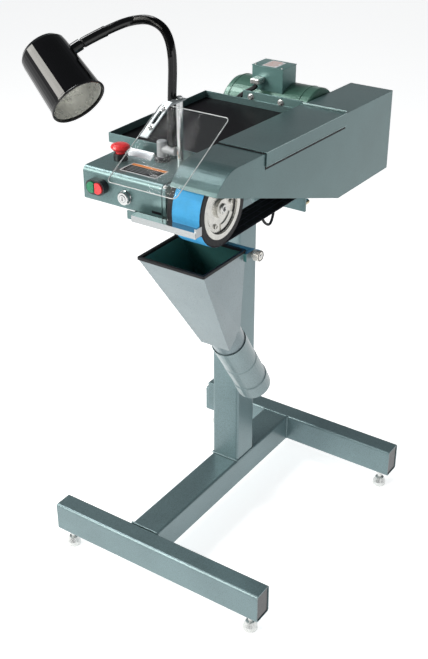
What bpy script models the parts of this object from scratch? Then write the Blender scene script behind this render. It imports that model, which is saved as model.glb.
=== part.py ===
"""Stand-mounted belt sander: H-base stand, control box, parts tray, guarded belt and motor.

Units are metres and +Z is up. The machine is drawn from two datums: X is measured from the column's
centre line, positive to the operator's right, and Y from the front face of the front foot, positive
to the rear. The root empty then moves the whole machine so that the frame's origin is on the floor
under the middle of its outer box.
"""
import math

import bmesh
import bpy
from mathutils import Matrix, Vector

# ---------------------------------------------------------------- driving dimensions
ORIGIN_SHIFT = (-0.0575, -0.3067, 0.0)
GAP = 0.0003
ROUND_STEPS = 36

TUBE = 0.0762
TUBE_WALL = 0.003
TUBE_CORNER = 0.006
FOOT_WIDTH = 0.0508
FOOT_BOTTOM = 0.052
FOOT_LEFT = -0.2352
FOOT_RIGHT = 0.3502
REAR_FOOT_Y = 0.653
PAD_X = (-0.210, 0.318)

COLUMN_Y = 0.398
COLUMN_TOP = 0.958

BOX_X = (-0.095, 0.1015)
BOX_Y = (0.020, 0.150)
BOX_Z = (0.967, 1.036)
BOX_ROUND = 0.012
SHEET = 0.002

FRAME_PLATE_X = (0.1025, 0.1105)
HEAD_FRAME_TOP = 1.039
TRAY_X = (-0.134, 0.1265)
TRAY_Y = (0.152, 0.511)
TRAY_Z = (1.0395, 1.060)
TRAY_SHEET = 0.0015

WHEEL_Y = 0.076
WHEEL_Z = 0.994
WHEEL_RADIUS = 0.0762
HUB_RADIUS = 0.062
WHEEL_X = (0.1275, 0.2060)
AXLE_RADIUS = 0.008

MOTOR_Y = 0.600
MOTOR_Z = 1.002
MOTOR_RADIUS = 0.082
MOTOR_X = (-0.112, 0.124)
DRIVE_RADIUS = 0.060
DRIVE_X = (0.1345, 0.2070)
SHAFT_RADIUS = 0.0095

IDLER_Y = 0.440
IDLER_Z = 0.9425
IDLER_RADIUS = 0.025
ARM_PIVOT_Y = 0.4965
ARM_PIVOT_Z = 0.950
ARM_X = (0.1135, 0.1195)

BELT_X = (0.1413, 0.2048)
BELT_THICKNESS = 0.0012

GUARD_X = (0.1285, 0.2380)
GUARD_SHEET = 0.0015
GUARD_ARC_Y = 0.078
GUARD_ARC_Z = 0.998
GUARD_ARC_RADIUS = 0.086
GUARD_TOP_FRONT = (0.0800, 1.0840)
GUARD_TOP_REAR = (0.7380, 1.0655)
GUARD_BOTTOM_REAR = 0.876
GUARD_BOTTOM_START = (0.494, 0.880)
LID_Y = (0.1775, 0.5070)
LID_LIP = 0.027
HINGE_Y = 0.5105

REST_Z = 0.9805
REST_FRONT_Y = -0.0235

ROD_X = 0.065
ROD_Y = 0.134
ROD_TOP = 1.168
SHIELD_TILT = 0.53
SHIELD_WIDTH = 0.158
SHIELD_LENGTH = 0.2025
SHIELD_CORNER = Vector((0.050, 0.095, 1.1690))

NUT_X = 0.020
NUT_Y = 0.133
NECK_X = 0.046
NECK_RADIUS = 0.009
NECK_HEADING = Vector((-0.605, -0.796, 0.0))
SHADE_AXIS = Vector((0.794, -0.186, -0.579)).normalized()
SHADE_LENGTH = 0.137

MOUTH_X = (0.061, 0.219)
MOUTH_Y = (-0.008, 0.139)
MOUTH_Z = 0.880
BASE_X = (0.102, 0.176)
BASE_FRONT = (0.148, 0.630)
BASE_REAR = (0.190, 0.665)
HOPPER_SHEET = 0.0016
DUCT_X = 0.1395
DUCT_RADIUS = 0.0375
DUCT_ROUTE = ((0.1376, 0.7277), (0.2035, 0.6150), (0.2450, 0.5510), (0.2861, 0.4888), (0.3085, 0.4518))
SLEEVE_RADIUS = 0.0400
HOPPER_PIVOT_Y = 0.1570
HOPPER_PIVOT_Z = 0.871

# ---------------------------------------------------------------- scene and materials
for old in list(bpy.data.objects):
    bpy.data.objects.remove(old, do_unlink=True)

PARTS = bpy.data.collections.new("belt_sander")
CUTTERS = bpy.data.collections.new("cutters")
bpy.context.scene.collection.children.link(PARTS)
bpy.context.scene.collection.children.link(CUTTERS)

ROOT = bpy.data.objects.new("machine_frame", None)
ROOT.location = ORIGIN_SHIFT
PARTS.objects.link(ROOT)

FINISHES = {
    "paint": ((0.205, 0.275, 0.285), 0.42, 0.55),
    "motor_paint": ((0.190, 0.290, 0.265), 0.45, 0.35),
    "rubber": ((0.018, 0.018, 0.020), 0.75, 0.0),
    "mat": ((0.012, 0.012, 0.014), 0.85, 0.0),
    "black": ((0.020, 0.020, 0.023), 0.35, 0.0),
    "gloss_black": ((0.008, 0.008, 0.010), 0.12, 0.0),
    "steel": ((0.60, 0.60, 0.60), 0.30, 1.0),
    "zinc": ((0.68, 0.68, 0.66), 0.38, 1.0),
    "chrome": ((0.80, 0.80, 0.80), 0.10, 1.0),
    "aluminium": ((0.74, 0.73, 0.70), 0.32, 1.0),
    "belt": ((0.030, 0.330, 0.800), 0.80, 0.0),
    "red": ((0.800, 0.035, 0.035), 0.35, 0.0),
    "green": ((0.010, 0.270, 0.110), 0.35, 0.0),
    "grey": ((0.520, 0.520, 0.520), 0.45, 0.0),
    "clear": ((0.900, 0.920, 0.930), 0.05, 0.0),
    "bulb": ((0.850, 0.850, 0.820), 0.15, 0.0),
    "brass": ((0.700, 0.560, 0.300), 0.30, 1.0),
}


def finish(node, name):
    """A Principled material for one node."""
    colour, roughness, metallic = FINISHES[name]
    mat = bpy.data.materials.new(node + "_finish")
    mat.use_nodes = True
    shader = mat.node_tree.nodes["Principled BSDF"]
    shader.inputs["Base Color"].default_value = (*colour, 1.0)
    shader.inputs["Roughness"].default_value = roughness
    shader.inputs["Metallic"].default_value = metallic
    return mat


# ---------------------------------------------------------------- modelling helpers
def register(obj, finish_name=None, parent=ROOT):
    """Puts an object in its collection, under its parent, with its material."""
    if finish_name is None:
        CUTTERS.objects.link(obj)
        obj.hide_render = True
        obj.display_type = "WIRE"
    else:
        PARTS.objects.link(obj)
        obj.data.materials.append(finish(obj.name, finish_name))
    obj.parent = parent
    return obj


def mesh_object(name, bm, finish_name=None, parent=ROOT):
    """An object from a bmesh, its faces pointing out."""
    bmesh.ops.recalc_face_normals(bm, faces=bm.faces)
    mesh = bpy.data.meshes.new(name)
    bm.to_mesh(mesh)
    bm.free()
    return register(bpy.data.objects.new(name, mesh), finish_name, parent)


def soften(obj, width, segments=2):
    """Rounds an object's sharp edges."""
    bevel = obj.modifiers.new("soft_edges", "BEVEL")
    bevel.width = width
    bevel.segments = segments
    bevel.limit_method = "ANGLE"
    return obj


def smooth(obj):
    """Smooth shading that keeps the sharp edges of a mesh."""
    obj.data.shade_smooth()
    obj.data.set_sharp_from_angle(angle=math.radians(35))
    return obj


def box(name, low, high, finish_name=None, bevel=0.0):
    """A box between two corners."""
    bm = bmesh.new()
    bmesh.ops.create_cube(bm, size=1.0)
    size = [b - a for a, b in zip(low, high)]
    centre = [(a + b) / 2 for a, b in zip(low, high)]
    bmesh.ops.scale(bm, vec=size, verts=bm.verts)
    bmesh.ops.translate(bm, vec=centre, verts=bm.verts)
    obj = mesh_object(name, bm, finish_name)
    return soften(obj, bevel) if bevel else obj


def cut(obj, cutter):
    """Takes the cutter's shape out of the object."""
    boolean = obj.modifiers.new("cut_" + cutter.name, "BOOLEAN")
    boolean.operation = "DIFFERENCE"
    boolean.solver = "EXACT"
    boolean.object = cutter
    return obj


def join(obj, other):
    """Adds another closed shape to the object."""
    boolean = obj.modifiers.new("join_" + other.name, "BOOLEAN")
    boolean.operation = "UNION"
    boolean.solver = "EXACT"
    boolean.object = other
    return obj


def rounded(corners, radius, steps=4):
    """A closed outline with each corner replaced by an arc of the given radius."""
    out = []
    count = len(corners)
    for i, corner in enumerate(corners):
        here = Vector(corner)
        before = (Vector(corners[i - 1]) - here).normalized()
        after = (Vector(corners[(i + 1) % count]) - here).normalized()
        half = before.angle(after) / 2
        centre = here + (before + after).normalized() * (radius / math.sin(half))
        start = here + before * (radius / math.tan(half)) - centre
        turn = start.angle_signed(here + after * (radius / math.tan(half)) - centre)
        for k in range(steps + 1):
            angle = -turn * k / steps
            spoke = Matrix.Rotation(angle, 2) @ start
            out.append(tuple(centre + spoke))
    return out


def arc(centre, radius, start, end, steps):
    """Points along an arc, with its angles in degrees."""
    out = []
    for k in range(steps + 1):
        angle = math.radians(start + (end - start) * k / steps)
        out.append((centre[0] + radius * math.cos(angle), centre[1] + radius * math.sin(angle)))
    return out


# Each plane gives the directions of the outline's first and second value and of its depth.
PLANES = {
    "XY": Matrix(((1, 0, 0), (0, 1, 0), (0, 0, 1))),
    "YZ": Matrix(((0, 0, 1), (1, 0, 0), (0, 1, 0))),
    "XZ": Matrix(((1, 0, 0), (0, 0, 1), (0, 1, 0))),
}


def plate(name, loops, plane, start, end, finish_name=None, parent=ROOT):
    """A flat outline, with any holes, made solid between two depths."""
    curve = bpy.data.curves.new(name + "_outline", "CURVE")
    curve.dimensions = "2D"
    curve.fill_mode = "BOTH"
    curve.extrude = (end - start) / 2
    for loop in loops:
        spline = curve.splines.new("POLY")
        spline.points.add(len(loop) - 1)
        spline.use_cyclic_u = True
        for point, place in zip(spline.points, loop):
            point.co = (place[0], place[1], 0.0, 1.0)
    sketch = bpy.data.objects.new(name + "_sketch", curve)
    CUTTERS.objects.link(sketch)
    view = bpy.context.evaluated_depsgraph_get()
    flat = bpy.data.meshes.new_from_object(sketch.evaluated_get(view))
    bm = bmesh.new()
    bm.from_mesh(flat)
    bmesh.ops.remove_doubles(bm, verts=bm.verts, dist=0.00001)
    bmesh.ops.translate(bm, vec=(0, 0, (start + end) / 2), verts=bm.verts)
    bmesh.ops.transform(bm, matrix=PLANES[plane].to_4x4(), verts=bm.verts)
    bpy.data.objects.remove(sketch)
    bpy.data.meshes.remove(flat)
    return mesh_object(name, bm, finish_name, parent)


def turned(name, profile, place, axis, finish_name=None, closed=False, steps=ROUND_STEPS):
    """A profile of (radius, height) points, listed down its outer side, turned about an axis."""
    mesh = bpy.data.meshes.new(name)
    edges = [(i, i + 1) for i in range(len(profile) - 1)]
    if closed:
        edges.append((len(profile) - 1, 0))
    mesh.from_pydata([(r, 0, z) for r, z in profile], edges, [])
    obj = bpy.data.objects.new(name, mesh)
    screw = obj.modifiers.new("turn", "SCREW")
    screw.steps = steps
    screw.render_steps = steps
    screw.use_merge_vertices = True
    screw.merge_threshold = 0.00005
    obj.rotation_euler = Vector((0, 0, 1)).rotation_difference(Vector(axis)).to_euler()
    obj.location = place
    return register(obj, finish_name)


def rod(name, start, end, radius, finish_name=None, steps=ROUND_STEPS):
    """A plain round bar between two points."""
    start = Vector(start)
    way = Vector(end) - start
    length = way.length
    return turned(name, [(0, length), (radius, length), (radius, 0), (0, 0)], start, way,
                  finish_name, steps=steps)


def smooth_route(points, count):
    """Evenly numbered points on a smooth curve through the route's own points."""
    points = [Vector(p) for p in points]
    ends = [points[0] * 2 - points[1]] + points + [points[-1] * 2 - points[-2]]
    out = []
    spans = len(points) - 1
    for k in range(count):
        place = min(k * spans / (count - 1), spans - 1e-9)
        i = int(place)
        t = place - i
        a, b, c, d = ends[i:i + 4]
        out.append(0.5 * (2 * b + (c - a) * t + (2 * a - 5 * b + 4 * c - d) * t * t
                          + (3 * b - a - 3 * c + d) * t * t * t))
    return out


def wire(name, points, radius, finish_name, resolution=2):
    """A round wire or cable along a list of points."""
    curve = bpy.data.curves.new(name, "CURVE")
    curve.dimensions = "3D"
    curve.bevel_depth = radius
    curve.bevel_resolution = resolution
    curve.use_fill_caps = True
    spline = curve.splines.new("POLY")
    spline.points.add(len(points) - 1)
    for point, place in zip(spline.points, points):
        point.co = (*place, 1.0)
    return register(bpy.data.objects.new(name, curve), finish_name)


def skin(name, rings, capped, finish_name=None):
    """Faces through equal rings of points, with or without a cap on each end."""
    bm = bmesh.new()
    made = [[bm.verts.new(p) for p in ring] for ring in rings]
    for upper, lower in zip(made, made[1:]):
        count = len(upper)
        for i in range(count):
            j = (i + 1) % count
            bm.faces.new((upper[i], upper[j], lower[j], lower[i]))
    if capped:
        bm.faces.new(made[0])
        bm.faces.new(made[-1])
    return mesh_object(name, bm, finish_name)


def move_origin(obj, point):
    """Puts an object's origin on a joint axis without moving its shape."""
    obj.data.transform(Matrix.Translation(-Vector(point)))
    obj.location = point
    return obj


# ---------------------------------------------------------------- stand
def square_tube(name, low, high, along):
    """A hollow rectangular tube with rounded corners, open at both ends, between two corners."""
    bm = bmesh.new()
    bmesh.ops.create_cube(bm, size=1.0)
    bmesh.ops.scale(bm, vec=[b - a for a, b in zip(low, high)], verts=bm.verts)
    bmesh.ops.translate(bm, vec=[(a + b) / 2 for a, b in zip(low, high)], verts=bm.verts)
    bm.normal_update()
    ends = [face for face in bm.faces if abs(face.normal[along]) > 0.9]
    bmesh.ops.delete(bm, geom=ends, context="FACES_ONLY")
    corners = [edge for edge in bm.edges if len(edge.link_faces) == 2]
    bmesh.ops.bevel(bm, geom=corners, offset=TUBE_CORNER, segments=3, profile=0.5, affect="EDGES")
    tube = mesh_object(name, bm, "paint")
    solidify = tube.modifiers.new("wall", "SOLIDIFY")
    solidify.thickness = TUBE_WALL
    solidify.offset = -1.0
    return tube


def end_cap(name, x, y, outward):
    """A ribbed plastic plug in the end of a foot tube."""
    deep = 0.012
    half_y = FOOT_WIDTH / 2 - TUBE_WALL - GAP
    half_z = TUBE / 2 - TUBE_WALL - GAP
    z = FOOT_BOTTOM + TUBE / 2
    edges = sorted((x - outward * deep, x - outward * 0.0015))
    return box(name, (edges[0], y - half_y, z - half_z), (edges[1], y + half_y, z + half_z),
               "black", bevel=0.003)


def levelling_foot(name, x, y):
    """A zinc levelling foot: round pad, hex-sized lock nut and threaded stem."""
    stem_top = FOOT_BOTTOM + 0.020
    profile = [(0, stem_top), (0.0058, stem_top), (0.0058, 0.050), (0.0105, 0.050),
               (0.0105, 0.040), (0.0058, 0.040), (0.0058, 0.026), (0.0110, 0.024),
               (0.0165, 0.012), (0.0175, 0.004), (0.0165, 0), (0, 0)]
    hole = rod(name + "_hole", (x, y, FOOT_BOTTOM - 0.01), (x, y, FOOT_BOTTOM + 0.01), 0.0063)
    turned(name, profile, (x, y, 0), (0, 0, 1), "zinc", steps=24)
    return hole


def build_stand():
    """H-shaped base, column and levelling feet."""
    foot_top = FOOT_BOTTOM + TUBE
    half = TUBE / 2
    for label, y in (("front", FOOT_WIDTH / 2), ("rear", REAR_FOOT_Y + FOOT_WIDTH / 2)):
        tube = square_tube(label + "_foot_tube", (FOOT_LEFT, y - FOOT_WIDTH / 2, FOOT_BOTTOM),
                           (FOOT_RIGHT, y + FOOT_WIDTH / 2, foot_top), 0)
        end_cap(label + "_cap_left", FOOT_LEFT, y, -1)
        end_cap(label + "_cap_right", FOOT_RIGHT, y, 1)
        for side, x in zip(("left", "right"), PAD_X):
            cut(tube, levelling_foot("levelling_foot_" + label + "_" + side, x, y))
    square_tube("base_rail", (-half, FOOT_WIDTH + GAP, FOOT_BOTTOM), (half, REAR_FOOT_Y - GAP, foot_top), 1)
    square_tube("column", (-half, COLUMN_Y, foot_top + GAP), (half, COLUMN_Y + TUBE, COLUMN_TOP), 2)
    box("column_bracket", (-0.064, 0.414, 0.262), (-0.0384, 0.460, 0.328), "paint", bevel=0.002)


# ---------------------------------------------------------------- head: frame, box and tray
def build_head_frame():
    """Plate on the column, folded frame under the tray, and the side plate that holds the wheels."""
    left, right = -0.080, 0.102
    low, top, wall = 0.9660, HEAD_FRAME_TOP, 0.003
    channel = [(left, low), (left + wall, low), (left + wall, top - wall),
               (right - wall, top - wall), (right - wall, low), (right, low),
               (right, top), (left, top)]
    frame = plate("head_frame", [channel], "XZ", 0.1565, 0.5108, "paint")
    join(frame, box("head_plate", (left, 0.300, COLUMN_TOP + GAP), (right, 0.508, 0.9664)))
    cut(frame, box("cable_notch", (-0.066, 0.496, 1.020), (-0.042, 0.520, 1.045)))

    outline = [(0.0205, 0.974), (0.100, 0.936), (0.340, 0.905), (0.358, 0.868), (0.490, 0.868),
               (0.5085, 0.890), (0.5085, 1.034), (0.030, 1.034), (0.0205, 1.028)]
    side = plate("frame_plate", [outline], "YZ", *FRAME_PLATE_X, "paint")
    join(side, box("spring_lug", (0.1100, 0.446, 1.0105), (0.1230, 0.464, 1.0165)))
    join(side, box("tracking_bracket", (0.1100, 0.404, 0.8700), (0.2040, 0.4097, 0.9030)))


def box_outline(inset):
    """The control box's side outline, round at the top front, pushed in by a sheet's thickness."""
    front, rear = BOX_Y[0] + inset, BOX_Y[1]
    low, top = BOX_Z[0] + inset, BOX_Z[1] - inset
    radius = BOX_ROUND - inset
    nose = arc((front + radius, top - radius), radius, 180, 90, 8)
    return [(rear, low), (front + 0.002, low), (front, low + 0.002)] + nose + [(rear, top)]


def build_control_box():
    """Sheet enclosure, open to the rear, with its switches."""
    shell = plate("control_box", [box_outline(0.0)], "YZ", *BOX_X, "paint")
    inside = [(y + (0.01 if y == BOX_Y[1] else 0.0), z) for y, z in box_outline(SHEET)]
    hollow = plate("control_box_inside", [inside], "YZ", BOX_X[0] + SHEET, BOX_X[1] - SHEET)
    cut(shell, hollow)
    build_push_buttons()
    build_key_switch()
    build_emergency_stop()


def half_oval(centre, side, radius, flat):
    """One half of the twin button: an arc outside and a straight edge inside."""
    reach = 0.0075
    bulge = arc((centre[0] + side * reach, centre[1]), radius, 90, 90 + 180 * (-side), 12)
    height = math.sqrt(radius ** 2 - (reach - flat) ** 2) if flat < reach else radius
    return [(centre[0] + side * flat, centre[1] + height)] + bulge + [
        (centre[0] + side * flat, centre[1] - height)]


def build_push_buttons():
    """Twin bezel with the start button on the left and the stop button on the right."""
    centre = (-0.053, 1.003)
    outer = (arc((centre[0] + 0.008, centre[1]), 0.0155, -90, 90, 12)
             + arc((centre[0] - 0.008, centre[1]), 0.0155, 90, 270, 12))
    wells = [half_oval(centre, side, 0.0122, 0.0009) for side in (-1, 1)]
    plate("button_bezel", [outer] + wells, "XZ", 0.004, BOX_Y[0] - GAP, "black")
    for name, side, colour in (("start_button", -1, "green"), ("stop_button", 1, "red")):
        cap = half_oval(centre, side, 0.0117, 0.0014)
        plate(name, [cap], "XZ", 0.001, 0.0150, colour)


def build_key_switch():
    """Chrome key lock: fixed collar and turning barrel with its keyway."""
    x, z = 0.012, 0.992
    face = BOX_Y[0] - GAP
    collar = [(0.0120, 0.0100), (0.0136, 0.0085), (0.0136, 0), (0.0080, 0), (0.0080, 0.0100)]
    turned("key_collar", collar, (x, face, z), (0, -1, 0), "chrome", closed=True, steps=32)
    barrel = turned("key_barrel", [(0, 0.0108), (0.0070, 0.0108), (0.0076, 0.0102), (0.0076, 0.0004),
                                   (0, 0.0004)], (x, face, z), (0, -1, 0), "chrome", steps=32)
    keyway = box("keyway", (x - 0.0010, face - 0.0115, z - 0.0042),
                 (x + 0.0010, face - 0.0060, z + 0.0042))
    cut(barrel, keyway)


def build_emergency_stop():
    """Black collar on the box's top and a red mushroom that is pushed down."""
    x, y, z = -0.053, 0.090, BOX_Z[1] + GAP
    collar = [(0.0130, 0.0140), (0.0148, 0.0120), (0.0148, 0), (0.0098, 0), (0.0098, 0.0140)]
    turned("estop_collar", collar, (x, y, z), (0, 0, 1), "black", closed=True, steps=32)
    head = [(0, 0.0345), (0.0120, 0.0335), (0.0180, 0.0310), (0.0201, 0.0275), (0.0196, 0.0250),
            (0.0145, 0.0200), (0.0140, 0.0195), (0.0093, 0.0195), (0.0093, 0.0062), (0, 0.0062)]
    turned("estop_mushroom", head, (x, y, z), (0, 0, 1), "red", steps=32)


def build_tray():
    """Open parts tray with a rubber mat."""
    tray = box("tray", (TRAY_X[0], TRAY_Y[0], TRAY_Z[0]), (TRAY_X[1], TRAY_Y[1], TRAY_Z[1]), "paint")
    low = (TRAY_X[0] + TRAY_SHEET, TRAY_Y[0] + TRAY_SHEET, TRAY_Z[0] + TRAY_SHEET)
    high = (TRAY_X[1] - TRAY_SHEET, TRAY_Y[1] - TRAY_SHEET, TRAY_Z[1] + 0.01)
    cut(tray, box("tray_inside", low, high))
    floor = TRAY_Z[0] + TRAY_SHEET + GAP
    box("tray_mat", (low[0] + GAP, low[1] + GAP, floor), (high[0] - GAP, high[1] - GAP, floor + 0.003),
        "mat")


# ---------------------------------------------------------------- belt drive
def build_contact_wheel():
    """Rubber-tyred contact wheel on a shouldered axle."""
    place = (WHEEL_X[0], WHEEL_Y, WHEEL_Z)
    width = WHEEL_X[1] - WHEEL_X[0]
    hub = [(0.0190, width), (0.0200, width - 0.0060), (0.0500, width - 0.0060), (0.0515, width),
           (HUB_RADIUS, width), (HUB_RADIUS, 0), (0.0500, 0), (0.0500, 0.008), (0.0200, 0.008),
           (0.0200, 0), (0.0083, 0), (0.0083, width)]
    turned("contact_hub", hub, place, (1, 0, 0), "aluminium", closed=True, steps=48)
    inner = HUB_RADIUS + GAP
    edge = WHEEL_RADIUS - 0.0015
    tyre = [(inner, width), (edge, width), (WHEEL_RADIUS, width - 0.0015), (WHEEL_RADIUS, 0.0015),
            (edge, 0), (inner, 0)]
    turned("contact_tyre", tyre, place, (1, 0, 0), "rubber", closed=True, steps=48)
    length = width + 0.0165
    axle = [(0, length + 0.0035), (0.0095, length + 0.0035), (0.0105, length + 0.0025),
            (0.0105, length + GAP), (AXLE_RADIUS, length + GAP), (AXLE_RADIUS, 0.0160),
            (0.0120, 0.0160), (0.0120, 0), (0, 0)]
    turned("wheel_axle", axle, (FRAME_PLATE_X[1] + GAP, WHEEL_Y, WHEEL_Z), (1, 0, 0), "steel",
           steps=32)


def build_motor():
    """Motor, its bracket behind the tray, its terminal box, shaft and drive wheel."""
    length = MOTOR_X[1] - MOTOR_X[0]
    shell = [(0, length), (0.060, length), (0.079, length - 0.002), (MOTOR_RADIUS, length - 0.006),
             (MOTOR_RADIUS, 0.024), (0.0795, 0.022), (0.0780, 0.012), (0.0680, 0.003),
             (0.040, 0), (0, 0)]
    turned("motor_body", shell, (MOTOR_X[0], MOTOR_Y, MOTOR_Z), (1, 0, 0), "motor_paint", steps=48)

    thick, front = 0.004, TRAY_Y[1] + GAP
    low = MOTOR_Z - MOTOR_RADIUS - GAP - thick
    angle = [(front, low), (0.672, low), (0.672, low + thick), (front + thick, low + thick),
             (front + thick, 1.078), (front, 1.078)]
    plate("motor_bracket", [angle], "YZ", -0.030, 0.1265, "paint")

    terminal = box("conduit_box", (-0.033, 0.555, 1.060), (0.049, 0.614, 1.125), "motor_paint")
    saddle = rod("conduit_saddle", (-0.05, MOTOR_Y, MOTOR_Z), (0.07, MOTOR_Y, MOTOR_Z),
                 MOTOR_RADIUS + GAP, steps=48)
    cut(terminal, saddle)
    build_motor_cable()

    reach = 0.212 - MOTOR_X[1]
    spindle = [(0, reach), (0.0085, reach), (0.0105, reach - 0.002), (0.0105, reach - 0.0045),
               (SHAFT_RADIUS, reach - 0.0045), (SHAFT_RADIUS, GAP), (0, GAP)]
    turned("motor_shaft", spindle, (MOTOR_X[1], MOTOR_Y, MOTOR_Z), (1, 0, 0), "steel", steps=32)
    width = DRIVE_X[1] - DRIVE_X[0]
    pulley = [(SHAFT_RADIUS + GAP, width), (0.020, width), (0.020, width - 0.010),
              (0.052, width - 0.010), (0.052, width), (DRIVE_RADIUS - 0.0008, width),
              (DRIVE_RADIUS, width / 2), (DRIVE_RADIUS - 0.0008, 0), (SHAFT_RADIUS + GAP, 0)]
    turned("drive_wheel", pulley, (DRIVE_X[0], MOTOR_Y, MOTOR_Z), (1, 0, 0), "aluminium",
           closed=True, steps=48)


CABLE_ROUTE = ((-0.010, 0.5370, 1.0860), (-0.016, 0.5340, 1.0790), (-0.034, 0.5290, 1.0680),
               (-0.050, 0.5235, 1.0540), (-0.056, 0.5195, 1.0420), (-0.056, 0.5120, 1.0290),
               (-0.052, 0.4900, 1.0180), (-0.045, 0.3800, 1.0120), (-0.040, 0.2400, 1.0120),
               (-0.040, 0.1640, 1.0130), (-0.040, 0.1300, 1.0130))


def build_motor_cable():
    """Clamp on the terminal box and the cable that runs inside the head frame to the control box."""
    clamp = box("cable_clamp", (-0.022, 0.5280, 1.0900), (0.002, 0.5547, 1.1030), "zinc",
                bevel=0.0025)
    points = smooth_route(CABLE_ROUTE, 40)
    wire("motor_cable", points, 0.0055, "black")
    return clamp


def tangent_angle(start, end):
    """Where the straight run from one wheel to the next touches both of them."""
    way = Vector((end[0] - start[0], end[1] - start[1]))
    lean = math.asin((end[2] - start[2]) / way.length)
    return math.atan2(way.y, way.x) + math.pi / 2 + lean


def belt_loop(wheels, extra):
    """The closed line of a belt around (Y, Z, radius) wheels, listed along its upper run first."""
    out = []
    count = len(wheels)
    for i, (y, z, radius) in enumerate(wheels):
        arrive = tangent_angle(wheels[i - 1], wheels[i])
        leave = tangent_angle(wheels[i], wheels[(i + 1) % count])
        turn = (arrive - leave) % (2 * math.pi)
        steps = max(3, round(turn / math.radians(9)))
        for k in range(steps + 1):
            angle = arrive - turn * k / steps
            out.append((y + (radius + extra) * math.cos(angle), z + (radius + extra) * math.sin(angle)))
    return out


def build_belt():
    """Abrasive belt around the contact wheel, the drive wheel and the tension idler."""
    wheels = [(WHEEL_Y, WHEEL_Z, WHEEL_RADIUS), (MOTOR_Y, MOTOR_Z, DRIVE_RADIUS),
              (IDLER_Y, IDLER_Z, IDLER_RADIUS)]
    inner = belt_loop(wheels, GAP)
    outer = belt_loop(wheels, GAP + BELT_THICKNESS)
    plate("abrasive_belt", [outer, inner], "YZ", *BELT_X, "belt")


def build_tensioner():
    """Sprung arm with the idler wheel, its pull handle and the tracking knob."""
    joints = [(IDLER_Y, IDLER_Z, 0.015), (ARM_PIVOT_Y, ARM_PIVOT_Z, 0.011)]
    arm = plate("tension_arm", [belt_loop(joints, 0.0)], "YZ", *ARM_X, "paint")
    axle = rod("idler_axle", (ARM_X[1] - 0.001, IDLER_Y, IDLER_Z), (0.2068, IDLER_Y, IDLER_Z), 0.006,
               steps=24)
    join(arm, axle)
    pin = rod("arm_pin", (FRAME_PLATE_X[1] + GAP, ARM_PIVOT_Y, ARM_PIVOT_Z),
              (ARM_X[1], ARM_PIVOT_Y, ARM_PIVOT_Z), 0.006, steps=24)
    join(arm, pin)
    idler = [(0.0063, 0.068), (IDLER_RADIUS - 0.001, 0.068), (IDLER_RADIUS, 0.066),
             (IDLER_RADIUS, 0.002), (IDLER_RADIUS - 0.001, 0), (0.0063, 0)]
    turned("idler_wheel", idler, (0.1375, IDLER_Y, IDLER_Z), (1, 0, 0), "steel", closed=True)

    turns, wire_radius, coil_radius = 6, 0.0009, 0.0040
    low, high = 0.9595 + wire_radius, 1.0100 - wire_radius
    coil = []
    for k in range(turns * 12 + 1):
        angle = 2 * math.pi * k / 12
        rise = low + (high - low) * k / (turns * 12)
        coil.append((0.1165 + coil_radius * math.cos(angle), 0.455 + coil_radius * math.sin(angle),
                     rise))
    wire("tension_spring", coil, wire_radius, "steel", resolution=1)

    loop = smooth_route(((0.1065, 0.3800, 0.8672), (0.1065, 0.3810, 0.8520), (0.1085, 0.3900, 0.8280),
                         (0.1110, 0.4100, 0.8160), (0.1085, 0.4280, 0.8310),
                         (0.1065, 0.4330, 0.8520), (0.1065, 0.4340, 0.8672)), 22)
    wire("cable_loop", loop, 0.0032, "rubber")

    knob = [(0, 0.0190), (0.0050, 0.0190), (0.0060, 0.0180), (0.0060, 0.0020), (0.0045, GAP), (0, GAP)]
    screw = turned("tracking_knob", knob, (0.196, 0.410, 0.886), (0, 1, 0), "brass", steps=24)
    cut(screw, rod("knob_socket", (0.196, 0.424, 0.886), (0.196, 0.440, 0.886), 0.0028, steps=6))


# ---------------------------------------------------------------- belt guard
def guard_top(y):
    """Height of the guard's gently falling top."""
    (y0, z0), (y1, z1) = GUARD_TOP_FRONT, GUARD_TOP_REAR
    return z0 + (z1 - z0) * (y - y0) / (y1 - y0)


def guard_outline(inset, open_below):
    """Side outline of the guard: round over the wheel, deep at the rear over the drive wheel."""
    nose = arc((GUARD_ARC_Y, GUARD_ARC_Z), GUARD_ARC_RADIUS - inset, 146, 90, 10)
    rear = GUARD_TOP_REAR[0] - inset
    tail = [(rear, guard_top(rear) - inset), (rear, GUARD_BOTTOM_REAR + inset),
            (GUARD_BOTTOM_START[0] - (inset if open_below else 0), GUARD_BOTTOM_START[1] + inset)]
    if open_below:
        tail += [(tail[-1][0], 0.84), (nose[0][0], 0.84)]
    return nose + tail


def build_guard():
    """Sheet guard over the belt, its hinged lid and the hinge pin."""
    x0, x1 = GUARD_X
    shell = plate("belt_guard", [guard_outline(0.0, False)], "YZ", x0, x1, "paint")
    inside = plate("guard_inside", [guard_outline(GUARD_SHEET, True)], "YZ", x0 + GUARD_SHEET,
                   x1 - GUARD_SHEET)
    cut(shell, inside)
    left_opening = [(-0.02, 0.84), (0.517, 0.84), (0.517, 1.0500), (0.165, 1.0760), (-0.02, 1.0760)]
    cut(shell, plate("guard_left_opening", [left_opening], "YZ", x0 - 0.002, x0 + 0.003))
    cut(shell, box("lid_opening", (x0 + 0.006, LID_Y[0] + 0.006, 1.040),
                   (x1 - 0.006, LID_Y[1] - 0.004, 1.100)))
    cut(shell, rod("shaft_opening", (x0 - 0.002, MOTOR_Y, MOTOR_Z), (x0 + 0.004, MOTOR_Y, MOTOR_Z),
                   0.016, steps=32))
    build_lid()


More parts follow.
